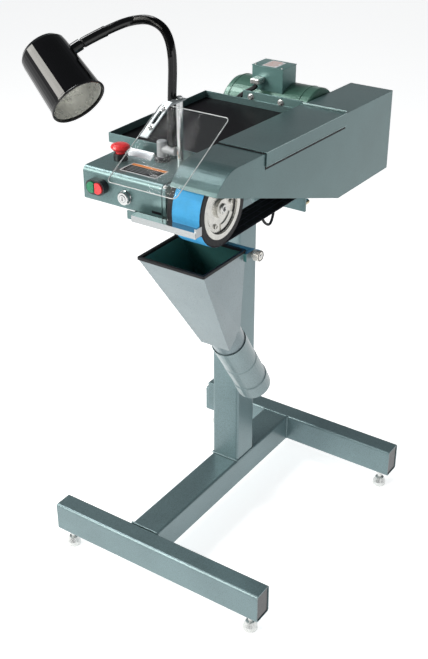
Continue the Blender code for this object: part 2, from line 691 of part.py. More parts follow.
def build_lid():
    """Folded lid with a lip over the guard's outer side, on a pin along its rear edge."""
    x0, x1 = GUARD_X[0] - 0.0010, GUARD_X[1] + 0.0030
    sheet = 0.0015
    fold = [(x0, 0), (x1 - sheet, 0), (x1 - sheet, -LID_LIP), (x1, -LID_LIP), (x1, sheet), (x0, sheet)]
    slope = math.atan2(guard_top(LID_Y[1]) - guard_top(LID_Y[0]), LID_Y[1] - LID_Y[0])
    rear = Vector((0, HINGE_Y, guard_top(HINGE_Y) + 0.0005))
    lid = plate("guard_lid", [fold], "XZ", LID_Y[0] - HINGE_Y, LID_Y[1] - HINGE_Y, "paint")
    lid.data.transform(Matrix.Translation(rear) @ Matrix.Rotation(slope, 4, "X"))
    pin_z = rear.z + 0.0022
    move_origin(lid, (0, HINGE_Y, pin_z))
    rod("lid_hinge_pin", (GUARD_X[0] + 0.004, HINGE_Y, pin_z), (GUARD_X[1] - 0.004, HINGE_Y, pin_z),
        0.0022, "paint", steps=12)


# ---------------------------------------------------------------- work rest and shield
def build_work_rest():
    """Polished angle in front of the belt, on a bar under the control box."""
    front, back, thick = REST_FRONT_Y, -0.0035, 0.003
    left, right, low = 0.0590, 0.2110, REST_Z - 0.0132
    angle = [(front, low), (front + thick, low), (front + thick, REST_Z - thick),
             (back, REST_Z - thick), (back, REST_Z), (front, REST_Z)]
    rest = plate("work_rest", [angle], "YZ", left, right, "steel")
    corner = [(left - 0.01, front - 0.01), (left + 0.004, front - 0.01), (left - 0.01, back + 0.004)]
    cut(rest, plate("corner_cut", [corner], "XY", low - 0.01, REST_Z + 0.01))
    join(rest, box("rest_lug", (right - 0.003, front + 0.001, low + 0.002),
                   (right + 0.0015, back - 0.001, REST_Z + 0.0070)))
    base = BOX_Z[0] - GAP
    support = [(back + 0.0004, 0.9600), (0.1200, 0.9600), (0.1200, base), (back + 0.0034, base),
               (back + 0.0034, REST_Z - thick), (back + 0.0004, REST_Z - thick)]
    bracket = plate("rest_bracket", [support], "YZ", 0.0330, 0.1255, "paint")
    cut(bracket, box("bracket_corner", (FRAME_PLATE_X[0] - 0.0005, 0.0180, 0.950), (0.130, 0.130, 0.970)))


def shield_frame(along, above):
    """A (Y, Z) point on the shield's plane, by its distance down the slope and above the plane."""
    down = Vector((-math.cos(SHIELD_TILT), -math.sin(SHIELD_TILT)))
    up = Vector((-math.sin(SHIELD_TILT), math.cos(SHIELD_TILT)))
    start = Vector((SHIELD_CORNER.y, SHIELD_CORNER.z))
    return tuple(start + down * along + up * above)


def build_shield():
    """Chrome post, slotted arm and clear shield in front of the operator's eyes."""
    rod("shield_post", (ROD_X, ROD_Y, BOX_Z[1] + GAP), (ROD_X, ROD_Y, ROD_TOP), 0.0075, "chrome",
        steps=24)
    thick = 0.003
    top = ROD_TOP + GAP
    low_start = shield_frame(-0.006, 0.0018)
    low_end = shield_frame(0.088, 0.0018)
    high_end = shield_frame(0.088, 0.0018 + thick)
    high_start = shield_frame(-0.006, 0.0018 + thick)
    bar = [(0.1455, top), (0.1455, top + thick), (high_start[0] + 0.004, top + thick), high_start,
           high_end, low_end, low_start, (low_start[0] + 0.004, top)]
    arm = plate("shield_arm", [bar], "YZ", ROD_X - 0.0085, ROD_X + 0.0085, "steel")
    slot = [(0.0040, 0.0), (0.0040, 0.034), (-0.0040, 0.034), (-0.0040, 0.0)]
    opening = plate("arm_slot", [slot], "XY", -0.010, 0.010)
    place = shield_frame(0.054, 0.003)
    opening.data.transform(Matrix.Translation((ROD_X, place[0], place[1]))
                           @ Matrix.Rotation(SHIELD_TILT, 4, "X"))
    cut(arm, opening)
    corners = [(0, 0), (SHIELD_WIDTH, 0), (SHIELD_WIDTH, -SHIELD_LENGTH), (0, -SHIELD_LENGTH)]
    clear = plate("shield_plate", [rounded(corners, 0.010, 5)], "XY", -0.0015, 0.0015, "clear")
    clear.data.transform(Matrix.Translation(SHIELD_CORNER) @ Matrix.Rotation(SHIELD_TILT, 4, "X"))
    move_origin(arm, (ROD_X, ROD_Y, top))
    move_origin(clear, (ROD_X, *shield_frame(0.03, 0.0)))


# ---------------------------------------------------------------- lamp
NECK_SHAPE = ((0.0, 1.0715), (0.0, 1.1200), (-0.0020, 1.1800), (-0.0040, 1.2280), (-0.0025, 1.2620),
              (0.0040, 1.2900), (0.0160, 1.3095), (0.0360, 1.3225), (0.0580, 1.3260),
              (0.0870, 1.3225), (0.1200, 1.3120), (0.1530, 1.2990), (0.1700, 1.2915))


def neck_point(along, height):
    """A point in the upright plane that the gooseneck bends in."""
    return Vector((NECK_X, NUT_Y, height)) + NECK_HEADING * along


def build_lamp():
    """Gooseneck lamp on a cable elbow, with a deep round shade and a reflector bulb."""
    base = BOX_Z[1] + GAP
    nut = [(0.0140, 0.0100), (0.0165, 0.0080), (0.0165, 0), (0.0112, 0), (0.0112, 0.0100)]
    turned("gland_nut", nut, (NUT_X, NUT_Y, base), (0, 0, 1), "black", closed=True, steps=24)
    elbow = turned("cable_elbow", [(0, 0.0420), (0.0085, 0.0420), (0.0105, 0.0400), (0.0105, 0.0005),
                                   (0, 0.0005)], (NUT_X, NUT_Y, base), (0, 0, 1), "grey", steps=24)
    join(elbow, rod("elbow_arm", (NUT_X, NUT_Y, 1.0615), (NECK_X + NECK_RADIUS, NUT_Y, 1.0615), 0.0090,
                    steps=24))
    neck = smooth_route([neck_point(s, z) for s, z in NECK_SHAPE], 44)
    wire("gooseneck", neck, NECK_RADIUS, "gloss_black")

    end = neck[-1]
    reach = (neck[-1] - neck[-2]).normalized()
    reach = (reach - SHADE_AXIS * reach.dot(SHADE_AXIS)).normalized()
    wall = 0.0485
    axis_point = end + reach * (wall + 0.0200)
    closed_end = axis_point - SHADE_AXIS * 0.040
    depth = SHADE_LENGTH
    sheet = 0.0016
    # Heights run from the closed end, 0, to the mouth, so the outside is listed mouth last.
    outside = [(0, 0), (0.030, 0.0008), (0.0410, 0.0045), (0.0462, 0.0120), (0.0475, 0.0220),
               (0.0528, depth - 0.0060), (0.0545, depth - 0.0045), (0.0550, depth - 0.0020),
               (0.0545, depth)]
    inside = [(0.0515, depth), (0.0510, depth - 0.0040), (0.0475 - sheet, 0.0230),
              (0.0462 - sheet, 0.0135), (0.0400, 0.0066), (0.0290, 0.0030), (0, 0.0020)]
    profile = [(r, -z) for r, z in outside + inside]
    shade = turned("lamp_shade", profile, closed_end, -SHADE_AXIS, "gloss_black", steps=40)
    collar = rod("lamp_collar", end + reach * 0.0032, axis_point - reach * (wall - 0.0030), 0.0110,
                 steps=24)
    join(shade, collar)
    hollow = turned("shade_inside", [(r, -z) for r, z in [(0, 0.0020)] + inside[::-1][1:] + [
        (0, depth)]], closed_end, -SHADE_AXIS, steps=40)
    cut(shade, hollow)
    bulb = [(0, 0.0900), (0.0220, 0.0870), (0.0310, 0.0800), (0.0305, 0.0740), (0.0180, 0.0450),
            (0.0140, 0.0400), (0.0140, 0.0033), (0, 0.0033)]
    turned("lamp_bulb", bulb, closed_end, SHADE_AXIS, "bulb", steps=32)


# ---------------------------------------------------------------- dust hopper
def duct_ring(place, heading, radius, count=32):
    """A ring across the duct, whose normal lies in the YZ plane."""
    heading = Vector(heading).normalized()
    side = Vector((1, 0, 0))
    rise = Vector((0, -heading.y, heading.x))
    centre = Vector((DUCT_X, place[0], place[1]))
    out = []
    for k in range(count):
        angle = 2 * math.pi * k / count
        out.append(centre + side * radius * math.cos(angle) + rise * radius * math.sin(angle))
    return out


def duct_point(place):
    """A point on the duct's middle plane from its (Y, Z) place."""
    return Vector((DUCT_X, place[0], place[1]))


def hopper_solid(name, inset, extra, finish_name=None):
    """The hopper's four walls as a solid, pushed in by a sheet's thickness and drawn out above."""
    x = (MOUTH_X[0] + inset, MOUTH_X[1] - inset)
    y = (MOUTH_Y[0] + inset, MOUTH_Y[1] - inset)
    mouth = [Vector((x[i], y[j], MOUTH_Z)) for i, j in ((0, 0), (1, 0), (1, 1), (0, 1))]
    base_x = (BASE_X[0] + inset, BASE_X[1] - inset)
    front = (BASE_FRONT[0] + inset, BASE_FRONT[1] + inset)
    rear = (BASE_REAR[0] - inset, BASE_REAR[1] + inset)
    base = [Vector((base_x[0], *front)), Vector((base_x[1], *front)),
            Vector((base_x[1], *rear)), Vector((base_x[0], *rear))]
    top = [m + (m - b) * extra for m, b in zip(mouth, base)]
    return skin(name, [top, base], True, finish_name)


def build_hopper():
    """Four-sided hopper with a round spout, a trimmed mouth and its pivot behind the wheel."""
    start, end = duct_point(DUCT_ROUTE[0]), duct_point(DUCT_ROUTE[1])
    way = (end - start).normalized()
    hopper = hopper_solid("hopper", 0.0, 0.0, "paint")
    join(hopper, rod("spout", start, end, DUCT_RADIUS, steps=32))
    cut(hopper, hopper_solid("hopper_inside", HOPPER_SHEET, 0.1))
    cut(hopper, rod("spout_inside", start + way * 0.002, end + way * 0.01, DUCT_RADIUS - HOPPER_SHEET,
                    steps=30))
    lug = box("hopper_lug", (MOUTH_X[1] - 0.0010, MOUTH_Y[1] - 0.0060, HOPPER_PIVOT_Z - 0.0090),
              (MOUTH_X[1] + 0.0065, HOPPER_PIVOT_Y + 0.0090, HOPPER_PIVOT_Z + 0.0084))
    join(hopper, lug)

    outer = [(MOUTH_X[0] - 0.0025, MOUTH_Y[0] - 0.0025), (MOUTH_X[1] + 0.0011, MOUTH_Y[0] - 0.0025),
             (MOUTH_X[1] + 0.0011, MOUTH_Y[1] + 0.0022), (MOUTH_X[0] - 0.0025, MOUTH_Y[1] + 0.0022)]
    inner = [(MOUTH_X[0] + 0.0040, MOUTH_Y[0] + 0.0040), (MOUTH_X[1] - 0.0040, MOUTH_Y[0] + 0.0040),
             (MOUTH_X[1] - 0.0040, MOUTH_Y[1] - 0.0040), (MOUTH_X[0] + 0.0040, MOUTH_Y[1] - 0.0040)]
    plate("hopper_trim", [rounded(outer, 0.003, 2), inner], "XY", MOUTH_Z + GAP, MOUTH_Z + 0.006,
          "rubber")
    build_dust_elbow()

    arm_x = (0.0935, FRAME_PLATE_X[0] - GAP)
    y = (HOPPER_PIVOT_Y - 0.0090, HOPPER_PIVOT_Y + 0.0090)
    z = (HOPPER_PIVOT_Z - 0.0090, HOPPER_PIVOT_Z + 0.0090)
    hanger = box("hopper_hanger", (arm_x[0], y[0], z[0]), (arm_x[1], y[1], 0.9600), "paint")
    join(hanger, box("hanger_bar", (arm_x[0] + 0.001, y[0] + 0.001, z[0] + 0.001),
                     (MOUTH_X[1] - 0.0020, y[1] - 0.001, z[1] - 0.001)))
    knob = [(0, 0.0190), (0.0105, 0.0190), (0.0120, 0.0175), (0.0120, 0.0065), (0.0100, 0.0050),
            (0.0060, 0.0050), (0.0060, GAP), (0, GAP)]
    turned("hopper_knob", knob, (MOUTH_X[1] + 0.0065, HOPPER_PIVOT_Y, HOPPER_PIVOT_Z), (1, 0, 0),
           "zinc", steps=32)


def build_dust_elbow():
    """Gored sheet duct whose upper end sleeves over the hopper's spout."""
    route = [duct_point(place) for place in DUCT_ROUTE[1:]]
    ways = [(b - a).normalized() for a, b in zip(route, route[1:])]
    radius = SLEEVE_RADIUS
    stages = [(route[0] - ways[0] * 0.006, ways[0], radius), (route[1], ways[0] + ways[1], radius - 0.0012),
              (route[1] + ways[1] * 0.003, ways[1], radius), (route[2], ways[1] + ways[2], radius - 0.0008),
              (route[2] + ways[2] * 0.003, ways[2], radius + 0.0012), (route[3], ways[2], radius + 0.0006)]
    rings = [duct_ring((p.y, p.z), (way.y, way.z), r) for p, way, r in stages]
    elbow = skin("dust_elbow", rings, False, "paint")
    solidify = elbow.modifiers.new("sheet", "SOLIDIFY")
    solidify.thickness = 0.0014
    solidify.offset = -1.0
    move_origin(elbow, stages[0][0])


# ---------------------------------------------------------------- assembly
build_stand()
build_head_frame()
build_control_box()
build_tray()
build_contact_wheel()
build_motor()
build_belt()
build_tensioner()
build_guard()
build_work_rest()
build_shield()
build_lamp()
build_hopper()

for part in PARTS.objects:
    if part.type == "MESH":
        smooth(part)
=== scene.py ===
"""Looks of the stand-mounted belt sander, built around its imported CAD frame. Units are metres."""

import math

import bmesh
import bpy
from mathutils import Matrix, Vector


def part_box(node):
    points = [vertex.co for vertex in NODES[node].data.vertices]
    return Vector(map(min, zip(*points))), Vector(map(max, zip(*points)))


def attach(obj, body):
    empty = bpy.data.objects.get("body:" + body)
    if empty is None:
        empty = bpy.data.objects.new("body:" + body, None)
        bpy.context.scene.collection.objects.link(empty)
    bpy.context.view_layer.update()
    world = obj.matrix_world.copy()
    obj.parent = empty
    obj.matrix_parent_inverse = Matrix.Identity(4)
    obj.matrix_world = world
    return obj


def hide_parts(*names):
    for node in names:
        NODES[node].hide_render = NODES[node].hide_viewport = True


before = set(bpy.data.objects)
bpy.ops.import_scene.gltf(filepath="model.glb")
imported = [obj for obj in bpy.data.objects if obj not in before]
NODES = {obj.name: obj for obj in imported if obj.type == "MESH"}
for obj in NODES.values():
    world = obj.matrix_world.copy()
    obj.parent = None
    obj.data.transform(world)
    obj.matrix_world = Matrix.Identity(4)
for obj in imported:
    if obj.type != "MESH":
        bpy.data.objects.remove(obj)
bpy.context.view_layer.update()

# Places are written as in the CAD source: X from the column's centre, Y from the front foot's face.
DATUM = Vector((-0.0575, -0.3067, 0.0))
BOX_TOP = 1.0360
WHEEL_Y, WHEEL_Z = 0.076, 0.994
DRIVE_Y, DRIVE_Z = 0.600, 1.002

# The belt's lower run is below RUN_SPLIT, and the painted shade on the hopper's inner faces stops at
# HOPPER_FLOOR.
RUN_SPLIT = 0.960
HOPPER_LEAN = 0.444
HOPPER_FLOOR = 0.70
EDGE_SAMPLES = 3


def at(x, y, z):
    """A point in the frame from its place on the machine."""
    return Vector((x, y, z)) + DATUM


def centre_of(node):
    """The middle of a CAD node's box."""
    low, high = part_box(node)
    return (low + high) / 2


# ---------------------------------------------------------------- materials
def blank(name):
    """A material with only its shader and output."""
    made = bpy.data.materials.new(name)
    made.use_nodes = True
    tree = made.node_tree
    tree.nodes.clear()
    out = tree.nodes.new("ShaderNodeOutputMaterial")
    shader = tree.nodes.new("ShaderNodeBsdfPrincipled")
    tree.links.new(shader.outputs[0], out.inputs[0])
    return made, tree, shader


def set_inputs(node, **values):
    """Sets a node's inputs by name, with _ for each space."""
    for name, value in values.items():
        node.inputs[name.replace("_", " ")].default_value = value


def add_node(tree, kind, **inputs):
    """A new shader node with some of its inputs set."""
    node = tree.nodes.new("ShaderNode" + kind)
    set_inputs(node, **inputs)
    return node


def feed(tree, socket, value):
    """Gives a socket an output, a colour or a number."""
    if isinstance(value, bpy.types.NodeSocket):
        tree.links.new(value, socket)
    elif isinstance(value, tuple):
        socket.default_value = (*value, 1.0)
    else:
        socket.default_value = value


def coords(tree, scale=(1, 1, 1), offset=(0, 0, 0)):
    """Object coordinates, stretched and moved."""
    source = add_node(tree, "TexCoord")
    mapping = add_node(tree, "Mapping", Scale=scale, Location=offset)
    tree.links.new(source.outputs["Object"], mapping.inputs["Vector"])
    return mapping.outputs["Vector"]


def split(tree, vector):
    """A vector's X, Y and Z outputs."""
    node = add_node(tree, "SeparateXYZ")
    tree.links.new(vector, node.inputs[0])
    return node.outputs


def noise(tree, vector, scale, detail=2.0):
    """A noise value from 0 to 1."""
    node = add_node(tree, "TexNoise", Scale=scale, Detail=detail)
    tree.links.new(vector, node.inputs["Vector"])
    return node.outputs["Fac"]


def ramp(tree, value, stops):
    """A colour ramp with (place, colour) stops."""
    node = add_node(tree, "ValToRGB")
    elements = node.color_ramp.elements
    while len(elements) < len(stops):
        elements.new(0.5)
    for element, (place, colour) in zip(elements, stops):
        element.position = place
        element.color = (*colour, 1.0)
    tree.links.new(value, node.inputs["Fac"])
    return node.outputs["Color"]


def between(tree, value, first, second):
    """A colour between two, over the range where most of a noise's values lie."""
    return ramp(tree, value, ((0.3, first), (0.7, second)))


def mix(tree, factor, first, second, blend="MIX"):
    """Two colours mixed. Each of them and the factor may be an output or a plain value."""
    node = add_node(tree, "Mix")
    node.data_type = "RGBA"
    node.blend_type = blend
    for index, value in ((0, factor), (6, first), (7, second)):
        feed(tree, node.inputs[index], value)
    return node.outputs[2]


def calc(tree, operation, first, second=0.0):
    """One math step on outputs or plain values."""
    node = add_node(tree, "Math")
    node.operation = operation
    for socket, value in zip(node.inputs, (first, second)):
        feed(tree, socket, value)
    return node.outputs[0]


def relief(tree, shader, height, distance, strength, rounding=0.0):
    """Bump from a height value, with its depth in metres, over edges rounded to catch the light."""
    node = add_node(tree, "Bump", Strength=strength, Distance=distance)
    if rounding:
        edge = add_node(tree, "Bevel", Radius=rounding)
        edge.samples = EDGE_SAMPLES
        tree.links.new(edge.outputs["Normal"], node.inputs["Normal"])
    tree.links.new(height, node.inputs["Height"])
    tree.links.new(node.outputs["Normal"], shader.inputs["Normal"])


def grey(level):
    """A grey colour."""
    return (level,) * 3


def scaled(colour, factor):
    """A colour made lighter or darker."""
    return tuple(min(1.0, c * factor) for c in colour)


def roughness(tree, shader, value, low, high):
    """Roughness that wanders between two values."""
    tree.links.new(between(tree, value, grey(low), grey(high)), shader.inputs["Roughness"])


def enamel(name, colour, metal=0.45):
    """Hammered metallic enamel: a fine dappled skin with flecks and slow changes of tone."""
    made, tree, shader = blank(name)
    place = coords(tree)
    fleck = noise(tree, place, scale=620.0, detail=3.0)
    slow = noise(tree, place, scale=9.0)
    tone = ramp(tree, fleck, ((0.32, scaled(colour, 0.80)), (0.52, colour), (0.72, scaled(colour, 1.22))))
    drift = between(tree, slow, grey(0.93), grey(1.06))
    tree.links.new(mix(tree, 1.0, tone, drift, "MULTIPLY"), shader.inputs["Base Color"])
    cells = add_node(tree, "TexVoronoi", Scale=300.0)
    cells.feature = "SMOOTH_F1"
    tree.links.new(place, cells.inputs["Vector"])
    relief(tree, shader, cells.outputs["Distance"], distance=0.0005, strength=0.30, rounding=0.0016)
    roughness(tree, shader, fleck, low=0.27, high=0.40)
    set_inputs(shader, Metallic=metal, Coat_Weight=0.25, Coat_Roughness=0.22)
    return made


def plain(name, colour, low, high, metal=0.0, grain=300.0, depth=0.0001, coat=0.0, spread=0.12,
          stretch=(1, 1, 1), shine=0.5):
    """Plastic, rubber or metal with a fine grain and a roughness from low to high. Stretch draws the
    grain into brush marks."""
    made, tree, shader = blank(name)
    grains = noise(tree, coords(tree, stretch), scale=grain, detail=3.0)
    tone = between(tree, grains, scaled(colour, 1 - spread), scaled(colour, 1 + spread))
    tree.links.new(tone, shader.inputs["Base Color"])
    relief(tree, shader, grains, distance=depth, strength=0.5)
    roughness(tree, shader, grains, low, high)
    set_inputs(shader, Metallic=metal, Coat_Weight=coat, Coat_Roughness=0.05, Specular_IOR_Level=shine)
    return made


def turned_metal(name, colour, centre, low=0.22, high=0.40):
    """Lathe-turned aluminium, with fine rings round an axis along X."""
    made, tree, shader = blank(name)
    place = coords(tree, offset=tuple(-c for c in centre))
    rings = add_node(tree, "TexWave", Scale=260.0, Distortion=1.2)
    rings.wave_type = "RINGS"
    rings.rings_direction = "X"
    tree.links.new(place, rings.inputs["Vector"])
    cast = noise(tree, place, scale=70.0, detail=3.0)
    tone = between(tree, cast, scaled(colour, 0.84), scaled(colour, 1.08))
    tree.links.new(tone, shader.inputs["Base Color"])
    relief(tree, shader, rings.outputs["Fac"], distance=0.00005, strength=0.5)
    roughness(tree, shader, cast, low, high)
    set_inputs(shader, Metallic=0.9)
    return made


def backing_bars(tree, place):
    """Worn grey bars across the belt's near-black backing, in place of its print."""
    bars = add_node(tree, "TexBrick", Color1=(0.016, 0.016, 0.020, 1), Color2=(0.020, 0.018, 0.026, 1),
                    Mortar=(0.075, 0.080, 0.110, 1), Scale=1.0, Mortar_Size=0.0012, Brick_Width=0.050,
                    Row_Height=0.016)
    sideways = add_node(tree, "Mapping", Rotation=(0, 0, math.pi / 2))
    tree.links.new(place, sideways.inputs["Vector"])
    tree.links.new(sideways.outputs["Vector"], bars.inputs["Vector"])
    return bars.outputs["Color"]


def belt_inside(tree, place):
    """1 on the belt's edges and on the faces of its two runs that look at each other, else 0."""
    slant, flank = 0.3, 0.6
    facing = split(tree, add_node(tree, "NewGeometry").outputs["Normal"])
    lower_run = calc(tree, "LESS_THAN", split(tree, place)["Z"], RUN_SPLIT)
    upper_run = calc(tree, "SUBTRACT", 1.0, lower_run)
    inside_low = calc(tree, "MULTIPLY", lower_run, calc(tree, "GREATER_THAN", facing["Z"], slant))
    inside_high = calc(tree, "MULTIPLY", upper_run, calc(tree, "LESS_THAN", facing["Z"], -slant))
    edge = calc(tree, "GREATER_THAN", calc(tree, "ABSOLUTE", facing["X"]), flank)
    return calc(tree, "MAXIMUM", calc(tree, "MAXIMUM", inside_low, inside_high), edge)


def abrasive(name):
    """Abrasive cloth: bright blue grit outside, and a near-black backing inside and on the edges, its
    darkness partly the backing's own colour and partly painted shade where the runs shade each other.
    """
    made, tree, shader = blank(name)
    place = coords(tree)
    grit = noise(tree, place, scale=1500.0, detail=3.0)
    patches = noise(tree, place, scale=40.0)
    blue = ramp(tree, grit, ((0.25, (0.020, 0.240, 0.560)), (0.5, (0.045, 0.390, 0.760)),
                             (0.8, (0.140, 0.560, 0.860))))
    blue = mix(tree, 1.0, blue, between(tree, patches, grey(0.90), grey(1.06)), "MULTIPLY")
    # Where the mask is 1, the near-black backing colour is partly painted shade.
    colour = mix(tree, belt_inside(tree, place), blue, backing_bars(tree, place))
    tree.links.new(colour, shader.inputs["Base Color"])
    relief(tree, shader, grit, distance=0.0003, strength=0.8)
    roughness(tree, shader, grit, low=0.55, high=0.85)
    return made


def clear(name, colour, alpha):
    """Clear polycarbonate, with faint smears."""
    made, tree, shader = blank(name)
    smear = noise(tree, coords(tree, scale=(1, 1, 4)), scale=22.0, detail=3.0)
    tree.links.new(between(tree, smear, colour, scaled(colour, 1.04)), shader.inputs["Base Color"])
    roughness(tree, shader, smear, low=0.02, high=0.07)
    set_inputs(shader, Alpha=alpha)
    return made


def enamel_shaded_inside(name, colour, inside_shade, centre, lean, floor):
    """Enamel with painted shade, a darker colour, on a bin's inner faces: those above its floor
    that look towards its middle line, which leans in Y by lean for each metre down."""
    made = enamel(name, colour)
    tree = made.node_tree
    shader = next(n for n in tree.nodes if n.type == "BSDF_PRINCIPLED")
    tone = shader.inputs["Base Color"].links[0].from_socket
    parts = split(tree, coords(tree, offset=tuple(-c for c in centre)))
    outwards = add_node(tree, "CombineXYZ")
    tree.links.new(parts["X"], outwards.inputs["X"])
    drift = calc(tree, "MULTIPLY", parts["Z"], lean)
    tree.links.new(calc(tree, "ADD", parts["Y"], drift), outwards.inputs["Y"])
    facing = add_node(tree, "VectorMath")
    facing.operation = "DOT_PRODUCT"
    tree.links.new(add_node(tree, "NewGeometry").outputs["Normal"], facing.inputs[0])
    tree.links.new(outwards.outputs[0], facing.inputs[1])
    not_level = -0.0005
    inwards = calc(tree, "LESS_THAN", facing.outputs["Value"], not_level)
    above_floor = calc(tree, "GREATER_THAN", parts["Z"], floor - centre.z)
    painted_shade = calc(tree, "MULTIPLY", inwards, above_floor)
    # The inner faces above the floor get painted shade: this mask mixes in the darker colour.
    tree.links.new(mix(tree, painted_shade, tone, inside_shade), shader.inputs["Base Color"])
    return made


LOOKS = {
    "teal": enamel("teal_enamel", (0.120, 0.205, 0.208)),
    # A darker copy of the teal for the guard and its lid: painted shade.
    "teal_guard_shaded": enamel("teal_enamel_guard_shaded", (0.100, 0.176, 0.180)),
    # A light teal for thin edge lines and the hinge: painted highlight.
    "teal_highlight": enamel("teal_enamel_painted_highlight", (0.380, 0.520, 0.520)),
    "teal_bright": enamel("teal_enamel_bright", (0.165, 0.290, 0.285)),
    "teal_stand": enamel("teal_enamel_stand", (0.160, 0.235, 0.250)),
    "motor": enamel("motor_enamel", (0.085, 0.195, 0.150), metal=0.25),
    "terminal": enamel("terminal_enamel", (0.120, 0.245, 0.235), metal=0.25),
    "duct": enamel("duct_enamel", (0.185, 0.255, 0.268), metal=0.35),
    # The hopper's inner faces carry painted shade.
    "hopper": enamel_shaded_inside("hopper_enamel_shaded_inside", (0.178, 0.232, 0.250), inside_shade=(0.075, 0.240, 0.230),
                    centre=centre_of("hopper_trim"), lean=HOPPER_LEAN, floor=HOPPER_FLOOR),
    "rubber": plain("tyre_rubber", (0.009, 0.009, 0.011), 0.45, 0.62, grain=240, depth=0.0002,
                    shine=0.3),
    "mat": plain("tray_mat_rubber", (0.0075, 0.0068, 0.0085), 0.46, 0.66, grain=520, depth=0.0003,
                 spread=0.3, shine=0.08),
    "black": plain("black_plastic", (0.010, 0.010, 0.012), 0.26, 0.40, grain=420, coat=0.2),
    "gloss_black": plain("gloss_black_enamel", (0.0028, 0.0028, 0.0034), 0.045, 0.075, grain=40,
                         depth=0.00003, spread=0.05, shine=0.42),
    "neck": plain("neck_sleeve", (0.0028, 0.0028, 0.0034), 0.12, 0.20, depth=0.00003, spread=0.05,
                  shine=0.40),
    "rest": plain("polished_steel", (0.40, 0.42, 0.43), 0.10, 0.20, metal=0.95, depth=0.00003,
                  stretch=(1, 9, 9)),
    "steel": plain("ground_steel", (0.62, 0.62, 0.60), 0.16, 0.30, metal=0.95, grain=260,
                   depth=0.00008, stretch=(1, 9, 9)),
    "arm": plain("arm_steel", (0.40, 0.43, 0.44), 0.40, 0.52, metal=0.85, depth=0.00006),
    "zinc": plain("zinc_plate", (0.66, 0.67, 0.66), 0.22, 0.38, metal=0.85, grain=380),
    "chrome": plain("bright_chrome", (0.60, 0.61, 0.61), 0.08, 0.17, metal=1.0, grain=160,
                    depth=0.00003, spread=0.04),
    # Near-black for the knob's face ring, and for painted shade: the hub recess's step and the axle's
    # socket.
    "rim": plain("dark_rim_and_painted_shade", (0.020, 0.020, 0.022), 0.25, 0.38),
    "belt": abrasive("abrasive_cloth"),
    "red": plain("red_plastic", (0.78, 0.035, 0.040), 0.24, 0.36, grain=260, coat=0.3, spread=0.06),
    "green": plain("green_plastic", (0.004, 0.200, 0.085), 0.24, 0.36, grain=260, coat=0.3,
                   spread=0.08),
    "grey": plain("grey_fitting", (0.42, 0.44, 0.46), 0.30, 0.46, metal=0.1, grain=340, spread=0.08),
    "cream": plain("knob_face", (0.80, 0.77, 0.71), 0.22, 0.36, metal=0.4, grain=200),
    "brass": plain("pale_brass", (0.62, 0.52, 0.34), 0.22, 0.36, metal=0.9),
    "white_label": plain("label_white", (0.72, 0.73, 0.74), 0.30, 0.40, grain=500, depth=0.00003,
                         spread=0.03),
    "orange_label": plain("label_orange", (0.80, 0.235, 0.010), 0.30, 0.40, grain=500,
                          depth=0.00003, spread=0.05),
    # Near-black for sticker print, and for thin painted shadow strips on the guard.
    "dark_print_and_shadow": plain("label_dark_and_painted_shadow", (0.010, 0.010, 0.012), 0.36, 0.48, grain=500, depth=0.00003,
                        shine=0.12),
    "grey_label": plain("label_grey", (0.200, 0.205, 0.210), 0.30, 0.42, grain=500, depth=0.00003),
    "pink_label": plain("label_pink", (0.62, 0.36, 0.31), 0.30, 0.42, grain=500, depth=0.00003),
    "plate": plain("data_plate", (0.56, 0.59, 0.62), 0.26, 0.38, metal=0.3, grain=420,
                   depth=0.00004, spread=0.05),
    "hub": turned_metal("turned_aluminium", (0.66, 0.65, 0.61), at(0.16, WHEEL_Y, WHEEL_Z), 0.16, 0.30),
    "drive": turned_metal("turned_drive", (0.62, 0.61, 0.58), at(0.16, DRIVE_Y, DRIVE_Z)),
    "reflector": plain("reflector_silver", (0.80, 0.80, 0.76), 0.22, 0.36, metal=0.70, grain=40,
                       depth=0.0002, spread=0.06),
    "bulb": plain("bulb_glass", (0.62, 0.62, 0.57), 0.08, 0.16, metal=0.55, grain=26, depth=0.0003,
                  coat=0.6, spread=0.16),
    "shield": clear("clear_sheet", (0.30, 0.33, 0.34), alpha=0.035),
    # A light grey for the clear sheet's edge: painted highlight.
    "shield_edge_highlight": plain("sheet_edge_painted_highlight", (0.50, 0.53, 0.53), 0.10, 0.22, depth=0.00003, coat=0.6,
                         spread=0.05),
}

DRESS = {
    "teal_stand": "front_foot_tube rear_foot_tube base_rail column column_bracket",
    "teal": "head_frame frame_plate control_box tray rest_bracket hopper_hanger",
    "teal_guard_shaded": "belt_guard guard_lid",
    "teal_bright": "motor_bracket",
    # The hinge pin wears the light teal as a painted highlight.
    "teal_highlight": "lid_hinge_pin",
    "motor": "motor_body",
    "terminal": "conduit_box",
    "hopper": "hopper",
    "duct": "dust_elbow",
    "rubber": "contact_tyre hopper_trim cable_loop motor_cable",
    "mat": "tray_mat",
    "black": "front_cap_left front_cap_right rear_cap_left rear_cap_right button_bezel estop_collar "
             "gland_nut",
    "neck": "gooseneck",
    "gloss_black": "lamp_shade",
    "rest": "work_rest",
    "steel": "wheel_axle motor_shaft tension_arm idler_wheel tension_spring",
    "arm": "shield_arm",
    "zinc": "levelling_foot_front_left levelling_foot_front_right levelling_foot_rear_left "
            "levelling_foot_rear_right cable_clamp",
    "chrome": "key_collar key_barrel shield_post",
    "belt": "abrasive_belt",
    "red": "stop_button estop_mushroom",
    "green": "start_button",
    "grey": "cable_elbow",
    "cream": "hopper_knob",
    "brass": "tracking_knob",
    "hub": "contact_hub",
    "drive": "drive_wheel",
    "bulb": "lamp_bulb",
    "shield": "shield_plate",
}
for look, names in DRESS.items():
    for name in names.split():
        node = NODES[name]
        node.data.materials.clear()
        node.data.materials.append(LOOKS[look])


